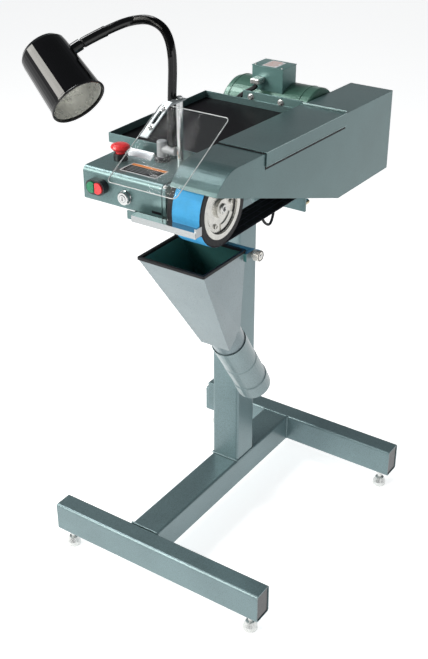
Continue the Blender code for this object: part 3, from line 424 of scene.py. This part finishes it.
# ---------------------------------------------------------------- building pieces
def piece(name, maker, look, body, slot=None, smooth=35):
    """A new mesh object from a bmesh, dressed and riding on a body."""
    mesh = bpy.data.meshes.new(name)
    maker.to_mesh(mesh)
    maker.free()
    made = bpy.data.objects.new(name, mesh)
    bpy.context.scene.collection.objects.link(made)
    mesh.materials.append(LOOKS[look])
    mesh.set_sharp_from_angle(angle=math.radians(smooth))
    for face in mesh.polygons:
        face.use_smooth = True
    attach(made, body)
    return made


def circle(sides):
    """Angles spread evenly round one turn."""
    return [2 * math.pi * k / sides for k in range(sides)]


def oval(radius, wide, tall, sides, lift=0.0):
    """A small oval section for turning, centred at a radius and a height."""
    return [(radius + wide * math.cos(t), tall * math.sin(t) + lift) for t in circle(sides)]


def quad(x, first, second, origin=(0, 0, 0)):
    """Four corners between two (y, z) edges that each run across two x."""
    corners = ((x[0], *first), (x[1], *first), (x[1], *second), (x[0], *second))
    return [Vector(corner) + Vector(origin) for corner in corners]


def closed_rings(maker, rings, loop=False):
    """Skins rings of points with faces, with caps unless the rings close on themselves."""
    rows = [[maker.verts.new(p) for p in ring] for ring in rings]
    pairs = list(zip(rows, rows[1:])) + ([(rows[-1], rows[0])] if loop else [])
    for a, b in pairs:
        for i in range(len(a)):
            j = (i + 1) % len(a)
            maker.faces.new((a[i], a[j], b[j], b[i]))
    if not loop:
        maker.faces.new(rows[0][::-1])
        maker.faces.new(rows[-1])
    bmesh.ops.recalc_face_normals(maker, faces=maker.faces)


def across(direction):
    """Two directions at right angles to a direction."""
    direction = direction.normalized()
    other = Vector((0, 0, 1)) if abs(direction.z) < 0.9 else Vector((1, 0, 0))
    u = direction.cross(other).normalized()
    return u, direction.cross(u).normalized()


def lathe(maker, profile, place, axis, sides=24, closed=False):
    """Turns (radius, height) points round an axis through a place."""
    smallest = 0.00002
    axis = Vector(axis).normalized()
    u, v = across(axis)
    rings = []
    for radius, height in profile:
        radius = max(radius, smallest)
        rings.append([Vector(place) + axis * height + (u * math.cos(t) + v * math.sin(t)) * radius
                      for t in circle(sides)])
    closed_rings(maker, rings, closed)


def sweep(maker, points, radius, sides=12, loop=False):
    """A tube along points; radius is a number or a list with one for each point."""
    points = [Vector(p) for p in points]
    count = len(points)
    u = None
    rings = []
    for i, point in enumerate(points):
        before = points[i - 1] if i or loop else point
        after = points[(i + 1) % count] if i < count - 1 or loop else point
        way = (after - before).normalized()
        if u is None:
            u = across(way)[0]
        u = (u - way * u.dot(way)).normalized()
        v = way.cross(u)
        r = radius[i] if isinstance(radius, list) else radius
        rings.append([point + (u * math.cos(t) + v * math.sin(t)) * r for t in circle(sides)])
    closed_rings(maker, rings, loop)


def slab(maker, corners, lift, bevel):
    """A thin plate: its corners on one face, and a vector through its thickness."""
    first = [maker.verts.new(c) for c in corners]
    second = [maker.verts.new(Vector(c) + Vector(lift)) for c in corners]
    made = [maker.faces.new(first[::-1]), maker.faces.new(second)]
    for i in range(len(corners)):
        j = (i + 1) % len(corners)
        made.append(maker.faces.new((first[i], first[j], second[j], second[i])))
    bmesh.ops.recalc_face_normals(maker, faces=made)
    if bevel:
        edges = {e for f in made for e in f.edges}
        bmesh.ops.bevel(maker, geom=list(edges), offset=bevel, segments=2, profile=0.7,
                        affect="EDGES")


def round_corners(corners, radius, steps=4):
    """A flat outline with each corner rounded."""
    out = []
    count = len(corners)
    for i, corner in enumerate(corners):
        corner = Vector(corner)
        a = (Vector(corners[i - 1]) - corner).normalized() * radius
        b = (Vector(corners[(i + 1) % count]) - corner).normalized() * radius
        for k in range(steps + 1):
            t = k / steps
            out.append(corner + a * (1 - t) ** 2 + b * t ** 2)
    return out


def smooth_route(points, count):
    """Points on a smooth curve through the route's own points."""
    points = [Vector(p) for p in points]
    ends = [points[0] * 2 - points[1]] + points + [points[-1] * 2 - points[-2]]
    out = []
    spans = len(points) - 1
    for k in range(count):
        place = min(k * spans / (count - 1), spans - 1e-9)
        i = int(place)
        t = place - i
        a, b, c, d = ends[i:i + 4]
        out.append(0.5 * (2 * b + (c - a) * t + (2 * a - 5 * b + 4 * c - d) * t * t
                          + (3 * b - a - 3 * c + d) * t * t * t))
    return out


def turned(name, profile, place, axis, look, body, slot=None, sides=24, closed=False, smooth=35):
    """A piece turned round an axis."""
    maker = bmesh.new()
    lathe(maker, profile, place, axis, sides, closed)
    piece(name, maker, look, body, slot, smooth)


def tube(name, points, radius, look, body, slot=None, sides=12, loop=False, smooth=60):
    """A piece swept along points."""
    maker = bmesh.new()
    sweep(maker, points, radius, sides, loop)
    return piece(name, maker, look, body, slot, smooth)


def plate(name, corners, lift, look, body, slot=None, corner=0.0, steps=4, bevel=0.0):
    """A thin flat piece, with its corners rounded in the flat where a corner radius is given."""
    maker = bmesh.new()
    slab(maker, round_corners(corners, corner, steps) if corner else corners, lift, bevel)
    piece(name, maker, look, body, slot)


# Half sections as (radius, height), in parts of the head's radius.
WASHER = ((0, 0), (1.28, 0), (1.32, 0.08), (1.28, 0.16), (0, 0.16))
HEX_HEAD = ((0, 0), (1, 0), (1, 0.62), (0.84, 0.74), (0, 0.74))
PAN_HEAD = ((0, 0), (1, 0), (1, 0.30), (0.86, 0.55), (0.55, 0.68), (0.42, 0.68), (0.40, 0.36),
            (0, 0.34))


def bolt(name, place, axis, size, body, look="zinc", head=HEX_HEAD, washer=True):
    """A hex or pan head screw on its washer. Size is the head's radius."""
    maker = bmesh.new()
    lift = 0.0
    if washer:
        lathe(maker, [(r * size, h * size) for r, h in WASHER], place, axis, 24)
        lift = WASHER[-1][1] * size
    profile = [(r * size, lift + h * size) for r, h in head]
    lathe(maker, profile, place, axis, 6 if head is HEX_HEAD else 20)
    piece(name, maker, look, body, "zinc", 30)


def weld(name, points, loop=False):
    """A rippled weld bead along points."""
    radius, step, ripple, wander = 0.0024, 0.0016, 0.16, 0.07
    line = [Vector(p) for p in points] + ([Vector(points[0])] if loop else [])
    spans = [(b - a).length for a, b in zip(line, line[1:])]
    total = sum(spans)
    steps = max(8, int(total / step))
    path = []
    for k in range(steps + (0 if loop else 1)):
        reach = total * k / steps
        i = 0
        while i < len(spans) - 1 and reach > spans[i]:
            reach -= spans[i]
            i += 1
        path.append(line[i].lerp(line[i + 1], min(1.0, reach / spans[i])))
    radii = [radius * (1.0 + ripple * math.sin(k * 2 * math.pi / 3.0) + wander * math.sin(k * 0.37))
             for k in range(len(path))]
    tube(name, path, radii, "teal_stand", "frame", "paint", sides=8, loop=loop)


# ---------------------------------------------------------------- stand
def dress_stand():
    """Weld beads round the column's foot and over the rail's ends, and the bracket's bolts."""
    low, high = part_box("column")
    bead_z = low.z + 0.0012
    weld("weld_column", quad((low.x, high.x), (low.y, bead_z), (high.y, bead_z)), loop=True)

    low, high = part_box("base_rail")
    inset, start_z = 0.0008, low.z + 0.004
    for tag, y in (("front", low.y + inset), ("rear", high.y - inset)):
        weld("weld_rail_" + tag,
             [(low.x, y, start_z), (low.x, y, high.z), (high.x, y, high.z), (high.x, y, start_z)])

    low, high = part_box("column_bracket")
    y = (low.y + high.y) / 2
    from_end = 0.012
    for tag, z in (("lower", low.z + from_end), ("upper", high.z - from_end)):
        bolt("bracket_bolt_" + tag, (low.x, y, z), (-1, 0, 0), 0.005, "frame")


# ---------------------------------------------------------------- control box
def label(name, x, y, z, look, thick=0.0003, corner=0.0015):
    """A flat sticker lying on a level face of the frame."""
    plate(name, quad(x, (y[0], z), (y[1], z), DATUM), (0, 0, thick), look, "frame", corner=corner)


def caution_label():
    """A white-edged sticker, with an orange band and grey bars and a block in place of its text."""
    left, right, front, rear = -0.020, 0.070, 0.043, 0.090
    margin, gap, band_depth = 0.0025, 0.0010, 0.0090
    print_z, bar_z, block_z = BOX_TOP + 0.0003, BOX_TOP + 0.0004, BOX_TOP + 0.00045
    ink, ink_corner = 0.0001, 0.0004
    inner_x = (left + margin, right - margin)
    band_y = (rear - margin - band_depth, rear - margin)
    label("caution_border", (left, right), (front, rear), BOX_TOP, "white_label", corner=0.004)
    label("caution_body", inner_x, (front + margin, band_y[0] - gap), print_z, "dark_print_and_shadow", thick=ink)
    label("caution_band", inner_x, band_y, print_z, "orange_label", thick=ink)

    bar_start, bar_pitch = -0.012, 0.0062
    for i, bar_end in enumerate((0.058, 0.050, 0.062, 0.040)):
        y = 0.0715 - bar_pitch * i
        label("caution_bar_%d" % i, (bar_start, bar_end), (y - 0.0012, y + 0.0006), bar_z,
              "grey_label", thick=ink, corner=ink_corner)
    label("caution_block", (0.052, 0.0655), (0.0475, 0.0580), block_z, "grey_label", thick=ink,
          corner=0.0006)


def dress_control_box():
    """The caution sticker, the slanted data plate, a small tag and the small fasteners."""
    caution_label()
    plate("data_plate", quad((-0.062, 0.002), (0.1185, 1.0362), (0.1310, 1.0482), DATUM),
          (0, 0.0010, -0.0010), "plate", "frame", corner=0.002, bevel=0.0002)
    tag_y = 0.0198
    plate("front_tag", quad((0.077, 0.100), (tag_y, 0.9745), (tag_y, 0.9795), DATUM),
          (0, -0.0006, 0), "dark_print_and_shadow", "frame", corner=0.001)
    bolt("frame_plate_bolt", at(0.1065, 0.0262, 1.0318), (0, -0.53, 0.85), 0.0040, "frame",
         head=PAN_HEAD, washer=False)
    rim = [(0.0138, 0.0002), (0.0146, 0.0002), (0.0149, 0.0009), (0.0145, 0.0016), (0.0138, 0.0016)]
    turned("key_washer", rim, at(0.012, 0.0197, 0.992), (0, -1, 0), "chrome", "frame", "chrome",
           sides=32, closed=True)


# ---------------------------------------------------------------- contact wheel
def dress_contact_wheel():
    """Cast pads and bosses in the hub's recess, a dark ring of painted shade at the recess's step, and
    the axle's socket as a flat dark hex of painted shade with a bright rim.
    """
    floor = at(0.2000, WHEEL_Y, WHEEL_Z)
    along = (1, 0, 0)
    cast = {"look": "hub", "body": "contact_wheel", "slot": "aluminium", "smooth": 25}
    spokes = 3

    def spot(radius, angle, lift=0.0):
        """A point over the recess's floor."""
        return floor + Vector((0, math.cos(angle), math.sin(angle))) * radius + Vector((lift, 0, 0))

    pad_inner, pad_outer, pad_slope, pad_lift = 0.0330, 0.0470, 0.0015, 0.0022
    pad_span, pad_steps = math.radians(62), 12
    for i in range(spokes):
        start = math.radians(30 + 120 * i)
        rings = []
        for k in range(pad_steps + 1):
            t = start + pad_span * k / pad_steps
            rings.append([spot(pad_inner, t), spot(pad_outer, t),
                          spot(pad_outer - pad_slope, t, pad_lift),
                          spot(pad_inner + pad_slope, t, pad_lift)])
        maker = bmesh.new()
        closed_rings(maker, rings)
        piece("hub_pad_%d" % i, maker, **cast)

    boss_radius = 0.0370
    boss = [(0, 0), (0.0052, 0), (0.0048, 0.0030), (0.0030, 0.0036), (0.0026, 0.0022), (0, 0.0020)]
    for i in range(spokes):
        place = spot(boss_radius, math.radians(2 + 120 * i))
        turned("hub_boss_%d" % i, boss, place, along, sides=20, **cast)
    # A dark ring at the recess's step: painted shade.
    step = [(0.0490, 0.0001), (0.0500, 0.0001), (0.0500, 0.0022), (0.0490, 0.0022)]
    turned("hub_step", step, floor, along, "rim", "contact_wheel", "aluminium", 48, True, 25)

    tip = Vector((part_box("wheel_axle")[1].x, floor.y, floor.z))
    # A flat dark hex standing in for the socket's hollow: painted shade.
    socket = [(0, -0.0002), (0.0042, -0.0002), (0.0042, 0.0002), (0, 0.0002)]
    turned("axle_socket", socket, tip, along, "rim", "frame", "steel", 6, False, 25)
    rim = [(0.0046, 0.0), (0.0090, 0.0), (0.0086, 0.0010), (0.0050, 0.0010)]
    turned("axle_rim", rim, tip, along, "steel", "frame", "steel", 32, True, 25)


# ---------------------------------------------------------------- guard and motor
def dress_terminal_box():
    """The terminal box's lid with its screws and a plain sticker."""
    low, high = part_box("conduit_box")
    grow, thick = 0.0014, 0.0016
    top = high.z + thick
    corners = quad((low.x - grow, high.x + grow), (low.y - grow, high.z), (high.y + grow, high.z))
    plate("conduit_lid", corners, (0, 0, thick), "terminal", "frame", "motor_paint", corner=0.0015,
          steps=2, bevel=0.0003)

    centre = (low.x + high.x) / 2 - DATUM.x
    half, bar_half, short_half = 0.019, 0.016, 0.011
    ink, bar_depth, bar_pitch = 0.0002, 0.0042, 0.0085
    label("terminal_sticker", (centre - half, centre + half), (0.5600, 0.6080), top, "white_label",
          thick=ink)
    for i in range(5):
        y = 0.5660 + bar_pitch * i
        end = centre + (bar_half if i % 2 else short_half)
        label("terminal_bar_%d" % i, (centre - bar_half, end), (y, y + bar_depth), top + ink,
              "pink_label", thick=0.0001, corner=0.0004)

    from_side, from_front = 0.006, 0.005
    for tag, x in (("left", low.x + from_side), ("right", high.x - from_side)):
        bolt("lid_screw_" + tag, (x, low.y + from_front, top), (0, 0, 1), 0.0026, "frame",
             head=PAN_HEAD, washer=False)


def dress_motor():
    """Flange bolts, the terminal box's lid, and the seams of the motor's end bells."""
    for tag, x in (("left", -0.008), ("right", 0.071)):
        bolt("flange_bolt_" + tag, at(x, 0.5112, 1.0660), (0, -1, 0), 0.0062, "frame")
    dress_terminal_box()

    low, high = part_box("motor_body")
    radius = (high.z - low.z) / 2
    end = Vector((low.x, (low.y + high.y) / 2, (low.z + high.z) / 2))
    sunk, proud, crown, half_width = 0.0006, 0.0007, 0.0009, 0.0012
    for tag, x in (("left", 0.0250), ("right", high.x - low.x - 0.030)):
        seam = [(radius - sunk, x), (radius + proud, x), (radius + crown, x + half_width),
                (radius + proud, x + 2 * half_width), (radius - sunk, x + 2 * half_width)]
        turned("motor_seam_" + tag, seam, end, (1, 0, 0), "motor", "frame", "motor_paint", 64, True)


def dress_guard():
    """Painted shadow strips under the lid's lip and in its front gap, painted highlight lines along the
    lid's top and lip edges, and the hinge's roll in the painted highlight colour.
    """
    low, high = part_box("guard_lid")
    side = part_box("belt_guard")[1].x
    fall, lip_depth = 0.0093, 0.0285
    top = (high.z, high.z - fall)
    lip = (high.z - lip_depth, high.z - lip_depth - fall)

    # A thin dark strip just under the lid's lip on the guard's side: painted shadow.
    strip_top, strip_bottom = 0.0004, 0.0068
    strip = [(side, low.y, lip[0] - strip_top), (side, high.y, lip[1] - strip_top),
             (side, high.y, lip[1] - strip_bottom), (side, low.y, lip[0] - strip_bottom)]
    plate("lip_shadow_strip", strip, (0.0007, 0, 0), "dark_print_and_shadow", "frame")

    # Thin light teal tubes along the lid's top and lip edges: painted highlights.
    highlight_radius, highlight_x = 0.0008, high.x - 0.0004
    for tag, (front_z, rear_z) in (("lip", lip), ("top", top)):
        tube("lid_highlight_" + tag, [(highlight_x, low.y, front_z), (highlight_x, high.y, rear_z)], highlight_radius,
             "teal_highlight", "lid", "paint", sides=8, smooth=35)

    # A dark strip in the gap between the front cover and the lid: painted shadow.
    gap_x = (low.x + 0.001, side)
    gap_y = (at(0, 0.1715, 0).y, low.y - 0.0003)
    plate("lid_gap_shadow_strip", quad(gap_x, (gap_y[0], 1.0812), (gap_y[1], 1.0811)), (0, 0, 0.0014),
          "dark_print_and_shadow", "frame")

    # The hinge's roll, in the light teal of a painted highlight.
    roll_y, roll_z, inset = high.y + 0.0010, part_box("lid_hinge_pin")[1].z, 0.002
    tube("hinge_roll", [(low.x + inset, roll_y, roll_z), (high.x - inset, roll_y, roll_z)], 0.0016,
         "teal_highlight", "frame", "paint", smooth=35)


# ---------------------------------------------------------------- shield
TILT = 0.53
SHEET_X = (0.050, 0.208)
SHEET_TOP = (0.095, 1.1690)
SHEET_LENGTH = 0.2025
ARM_X = 0.065


def on_shield(x, along, above=0.0):
    """A point by its distance down the shield's slope and above the slope."""
    y = SHEET_TOP[0] - math.cos(TILT) * along - math.sin(TILT) * above
    z = SHEET_TOP[1] - math.sin(TILT) * along + math.cos(TILT) * above
    return at(x, y, z)


def dress_shield():
    """Screws through the slotted arm and on its post, and the sheet's edge drawn as a light grey tube of
    painted highlight.
    """
    upwards = Vector((0, -math.sin(TILT), math.cos(TILT)))
    arm_top = 0.0048
    for tag, along in (("upper", 0.0140), ("lower", 0.0640)):
        bolt("shield_screw_" + tag, on_shield(ARM_X, along, arm_top), upwards, 0.0052,
             "shield_carrier", "chrome", head=PAN_HEAD)
    bolt("post_screw", at(ARM_X, 0.134, 1.1713), (0, 0, 1), 0.0062, "shield_carrier", "chrome")

    left, right = SHEET_X
    corners = [on_shield(left, 0), on_shield(right, 0), on_shield(right, SHEET_LENGTH),
               on_shield(left, SHEET_LENGTH)]
    # The sheet's edge drawn as a light grey tube: painted highlight.
    tube("shield_highlight_rim", round_corners(corners, 0.010, 6), 0.0010, "shield_edge_highlight", "shield", "clear",
         sides=8, loop=True)


# ---------------------------------------------------------------- lamp
NECK_FOOT = (0.046, 0.133)
NECK_SHAPE = ((0.0, 1.0715), (0.0, 1.1200), (-0.0020, 1.1800), (-0.0040, 1.2280), (-0.0025, 1.2620),
              (0.0040, 1.2900), (0.0160, 1.3095), (0.0360, 1.3225), (0.0580, 1.3260),
              (0.0870, 1.3225), (0.1200, 1.3120), (0.1530, 1.2990), (0.1700, 1.2915))
HEADING = Vector((-0.605, -0.796, 0.0))
NECK_POINTS = 760
NECK_RADIUS = 0.0090
GROOVE = 0.00042
SHADE_AXIS = Vector((0.794, -0.186, -0.579)).normalized()
SHADE_LENGTH = 0.137
SHADE_OFFSET = 0.0685
SHADE_GRIP = 0.040


def dress_neck(path):
    """The ribbed gooseneck, with a groove at every second point, its ferrules, ring and end ball."""
    radii = [NECK_RADIUS if k % 2 else NECK_RADIUS - GROOVE for k in range(len(path))]
    neck = tube("neck_ribbed", path, radii, "neck", "lamp_stem", "gloss_neck", sides=16, smooth=80)
    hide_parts("gooseneck")

    chamfer = 0.0006
    for tag, start, end, radius in (("base", 2, 66, 0.0101), ("lamp", 640, 758, 0.0099)):
        part = path[start:end:4]
        radii = [radius - chamfer] + [radius] * (len(part) - 2) + [radius - chamfer]
        tube("neck_ferrule_" + tag, part, radii, "neck", "lamp_stem", "gloss_neck", sides=24)
    tube("neck_ring", path[640:650:3], 0.0102, "neck", "lamp_stem", "gloss_neck", sides=24, smooth=40)

    maker = bmesh.new()
    centre = path[-1] + (path[-1] - path[-2]).normalized() * 0.0006
    bmesh.ops.create_uvsphere(maker, u_segments=24, v_segments=16, radius=0.0086,
                              matrix=Matrix.Translation(centre))
    piece("neck_ball", maker, "neck", "lamp_stem", "gloss_neck", 60)


def dress_shade(path):
    """The shade's rolled lip and silver lining, and the bulb's ring and tip."""
    reach = (path[-1] - path[-2]).normalized()
    reach = (reach - SHADE_AXIS * reach.dot(SHADE_AXIS)).normalized()
    closed_end = path[-1] + reach * SHADE_OFFSET - SHADE_AXIS * SHADE_GRIP
    mouth = closed_end + SHADE_AXIS * SHADE_LENGTH
    lip = oval(0.0535, 0.0019, 0.0019, 12, lift=-0.0006)
    turned("shade_lip", lip, mouth, SHADE_AXIS, "gloss_black", "lamp_head", "gloss_black", 64, True, 60)

    painted_shade = [(0.0507, SHADE_LENGTH - 0.0040), (0.0454, 0.0240), (0.0436, 0.0160), (0.0370, 0.0095),
              (0.0160, 0.0070)]
    back = [(r - 0.0006, h + 0.0004) for r, h in painted_shade][::-1]
    turned("shade_reflector", painted_shade + back, closed_end, SHADE_AXIS, "reflector", "lamp_head",
           "gloss_black", 64, True, 30)
    ring = [(0.0150, 0.0875), (0.0200, 0.0882), (0.0205, 0.0892), (0.0150, 0.0905), (0.0145, 0.0890)]
    turned("bulb_ring", ring, closed_end, SHADE_AXIS, "reflector", "lamp_head", "bulb", 40, True, 40)
    tip = [(0, 0.0900), (0.0030, 0.0902), (0.0024, 0.0912), (0, 0.0914)]
    turned("bulb_tip", tip, closed_end, SHADE_AXIS, "chrome", "lamp_head", "bulb", 16, False, 40)


def dress_lamp():
    """The lamp's neck and shade, which share the neck's route."""
    path = smooth_route([at(*NECK_FOOT, z) + HEADING * s for s, z in NECK_SHAPE], NECK_POINTS)
    dress_neck(path)
    dress_shade(path)


# ---------------------------------------------------------------- hopper knob and cables
def dress_hopper_knob():
    """The dark ring and bright centre on the knob's face."""
    centre = centre_of("hopper_knob")
    face = Vector((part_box("hopper_knob")[1].x, centre.y, centre.z))
    turned("knob_ring", oval(0.0098, 0.0011, 0.0006, 10), face, (1, 0, 0), "rim", "hopper_screw",
           "zinc", 40, True)
    middle = [(0, 0), (0.0034, 0), (0.0030, 0.0012), (0, 0.0014)]
    turned("knob_centre", middle, face, (1, 0, 0), "chrome", "hopper_screw", "zinc", 20)


dress_stand()
dress_control_box()
dress_contact_wheel()
dress_motor()
dress_guard()
dress_shield()
dress_lamp()
dress_hopper_knob()


# ---------------------------------------------------------------- floor, light and camera
def build_stage():
    """A large pale floor that fades into the white surround."""
    maker = bmesh.new()
    bmesh.ops.create_circle(maker, cap_ends=True, segments=64, radius=30.0)
    mesh = bpy.data.meshes.new("studio_floor")
    maker.to_mesh(mesh)
    maker.free()
    floor = bpy.data.objects.new("studio_floor", mesh)
    bpy.context.scene.collection.objects.link(floor)
    made, tree, shader = blank("floor_white")
    patches = noise(tree, coords(tree), scale=0.6, detail=1.0)
    tree.links.new(between(tree, patches, grey(0.86), grey(0.88)), shader.inputs["Base Color"])
    set_inputs(shader, Roughness=0.9, Emission_Color=(1, 1, 1, 1), Emission_Strength=0.76)
    mesh.materials.append(made)


def build_world():
    """White surround, darker overhead so that level faces stay deeper than upright ones."""
    world = bpy.data.worlds.new("studio")
    bpy.context.scene.world = world
    world.use_nodes = True
    tree = world.node_tree
    tree.nodes.clear()
    out = add_node(tree, "OutputWorld")
    back = add_node(tree, "Background", Strength=0.70)
    tree.links.new(back.outputs[0], out.inputs[0])
    height = split(tree, add_node(tree, "TexCoord").outputs["Generated"])["Z"]
    tone = ramp(tree, height, ((0.0, (1.0, 1.0, 1.0)), (0.15, (0.70, 0.72, 0.73)),
                               (0.34, (0.20, 0.22, 0.23)), (0.9, (0.16, 0.17, 0.18))))
    tree.links.new(tone, back.inputs["Color"])


def area_light(name, place, target, size, power, colour=(1, 1, 1), tall=(0, 0, 1)):
    """A soft rectangular light aimed at a point, with its second side along a direction."""
    data = bpy.data.lights.new(name, "AREA")
    data.shape = "RECTANGLE"
    data.size, data.size_y = size
    data.energy = power
    data.color = colour
    light = bpy.data.objects.new(name, data)
    back = (Vector(place) - Vector(target)).normalized()
    side = Vector(tall).cross(back).normalized()
    turn = Matrix((side, back.cross(side), back)).transposed()
    light.matrix_world = Matrix.Translation(place) @ turn.to_4x4()
    light.visible_camera = False
    bpy.context.scene.collection.objects.link(light)


def build_camera():
    """The photograph's viewpoint, with its slight roll."""
    place = Vector((1.2196, -1.8351, 1.8120))
    right = Vector((0.8267, 0.5627, 0.0))
    ahead = Vector((-0.4905, 0.7205, -0.4903))
    above = Vector((-0.2759, 0.4053, 0.8716))
    roll = -0.0021
    data = bpy.data.cameras.new("camera")
    data.lens = 59.02
    data.sensor_width = 36.0
    data.clip_end = 100.0
    camera = bpy.data.objects.new("camera", data)
    side = right * math.cos(roll) + above * math.sin(roll)
    top = above * math.cos(roll) - right * math.sin(roll)
    turn = Matrix((side, top, -ahead)).transposed()
    camera.matrix_world = Matrix.Translation(place) @ turn.to_4x4()
    bpy.context.scene.collection.objects.link(camera)
    bpy.context.scene.camera = camera


build_stage()
build_world()
area_light("key", place=(-1.45, -2.16, 2.16), target=(-0.15, -0.33, 1.20), size=(0.95, 1.8), power=62,
           colour=(1, 0.98, 0.92), tall=SHADE_AXIS)
area_light("top_left", place=(-1.7, -0.2, 3.0), target=(0.12, -0.20, 1.05), size=(1.0, 1.0), power=40)
area_light("fill", place=(2.8, -1.2, 1.2), target=(0, 0, 0.7), size=(1.4, 1.8), power=9)
build_camera()
bpy.context.scene.view_settings.view_transform = "Standard"
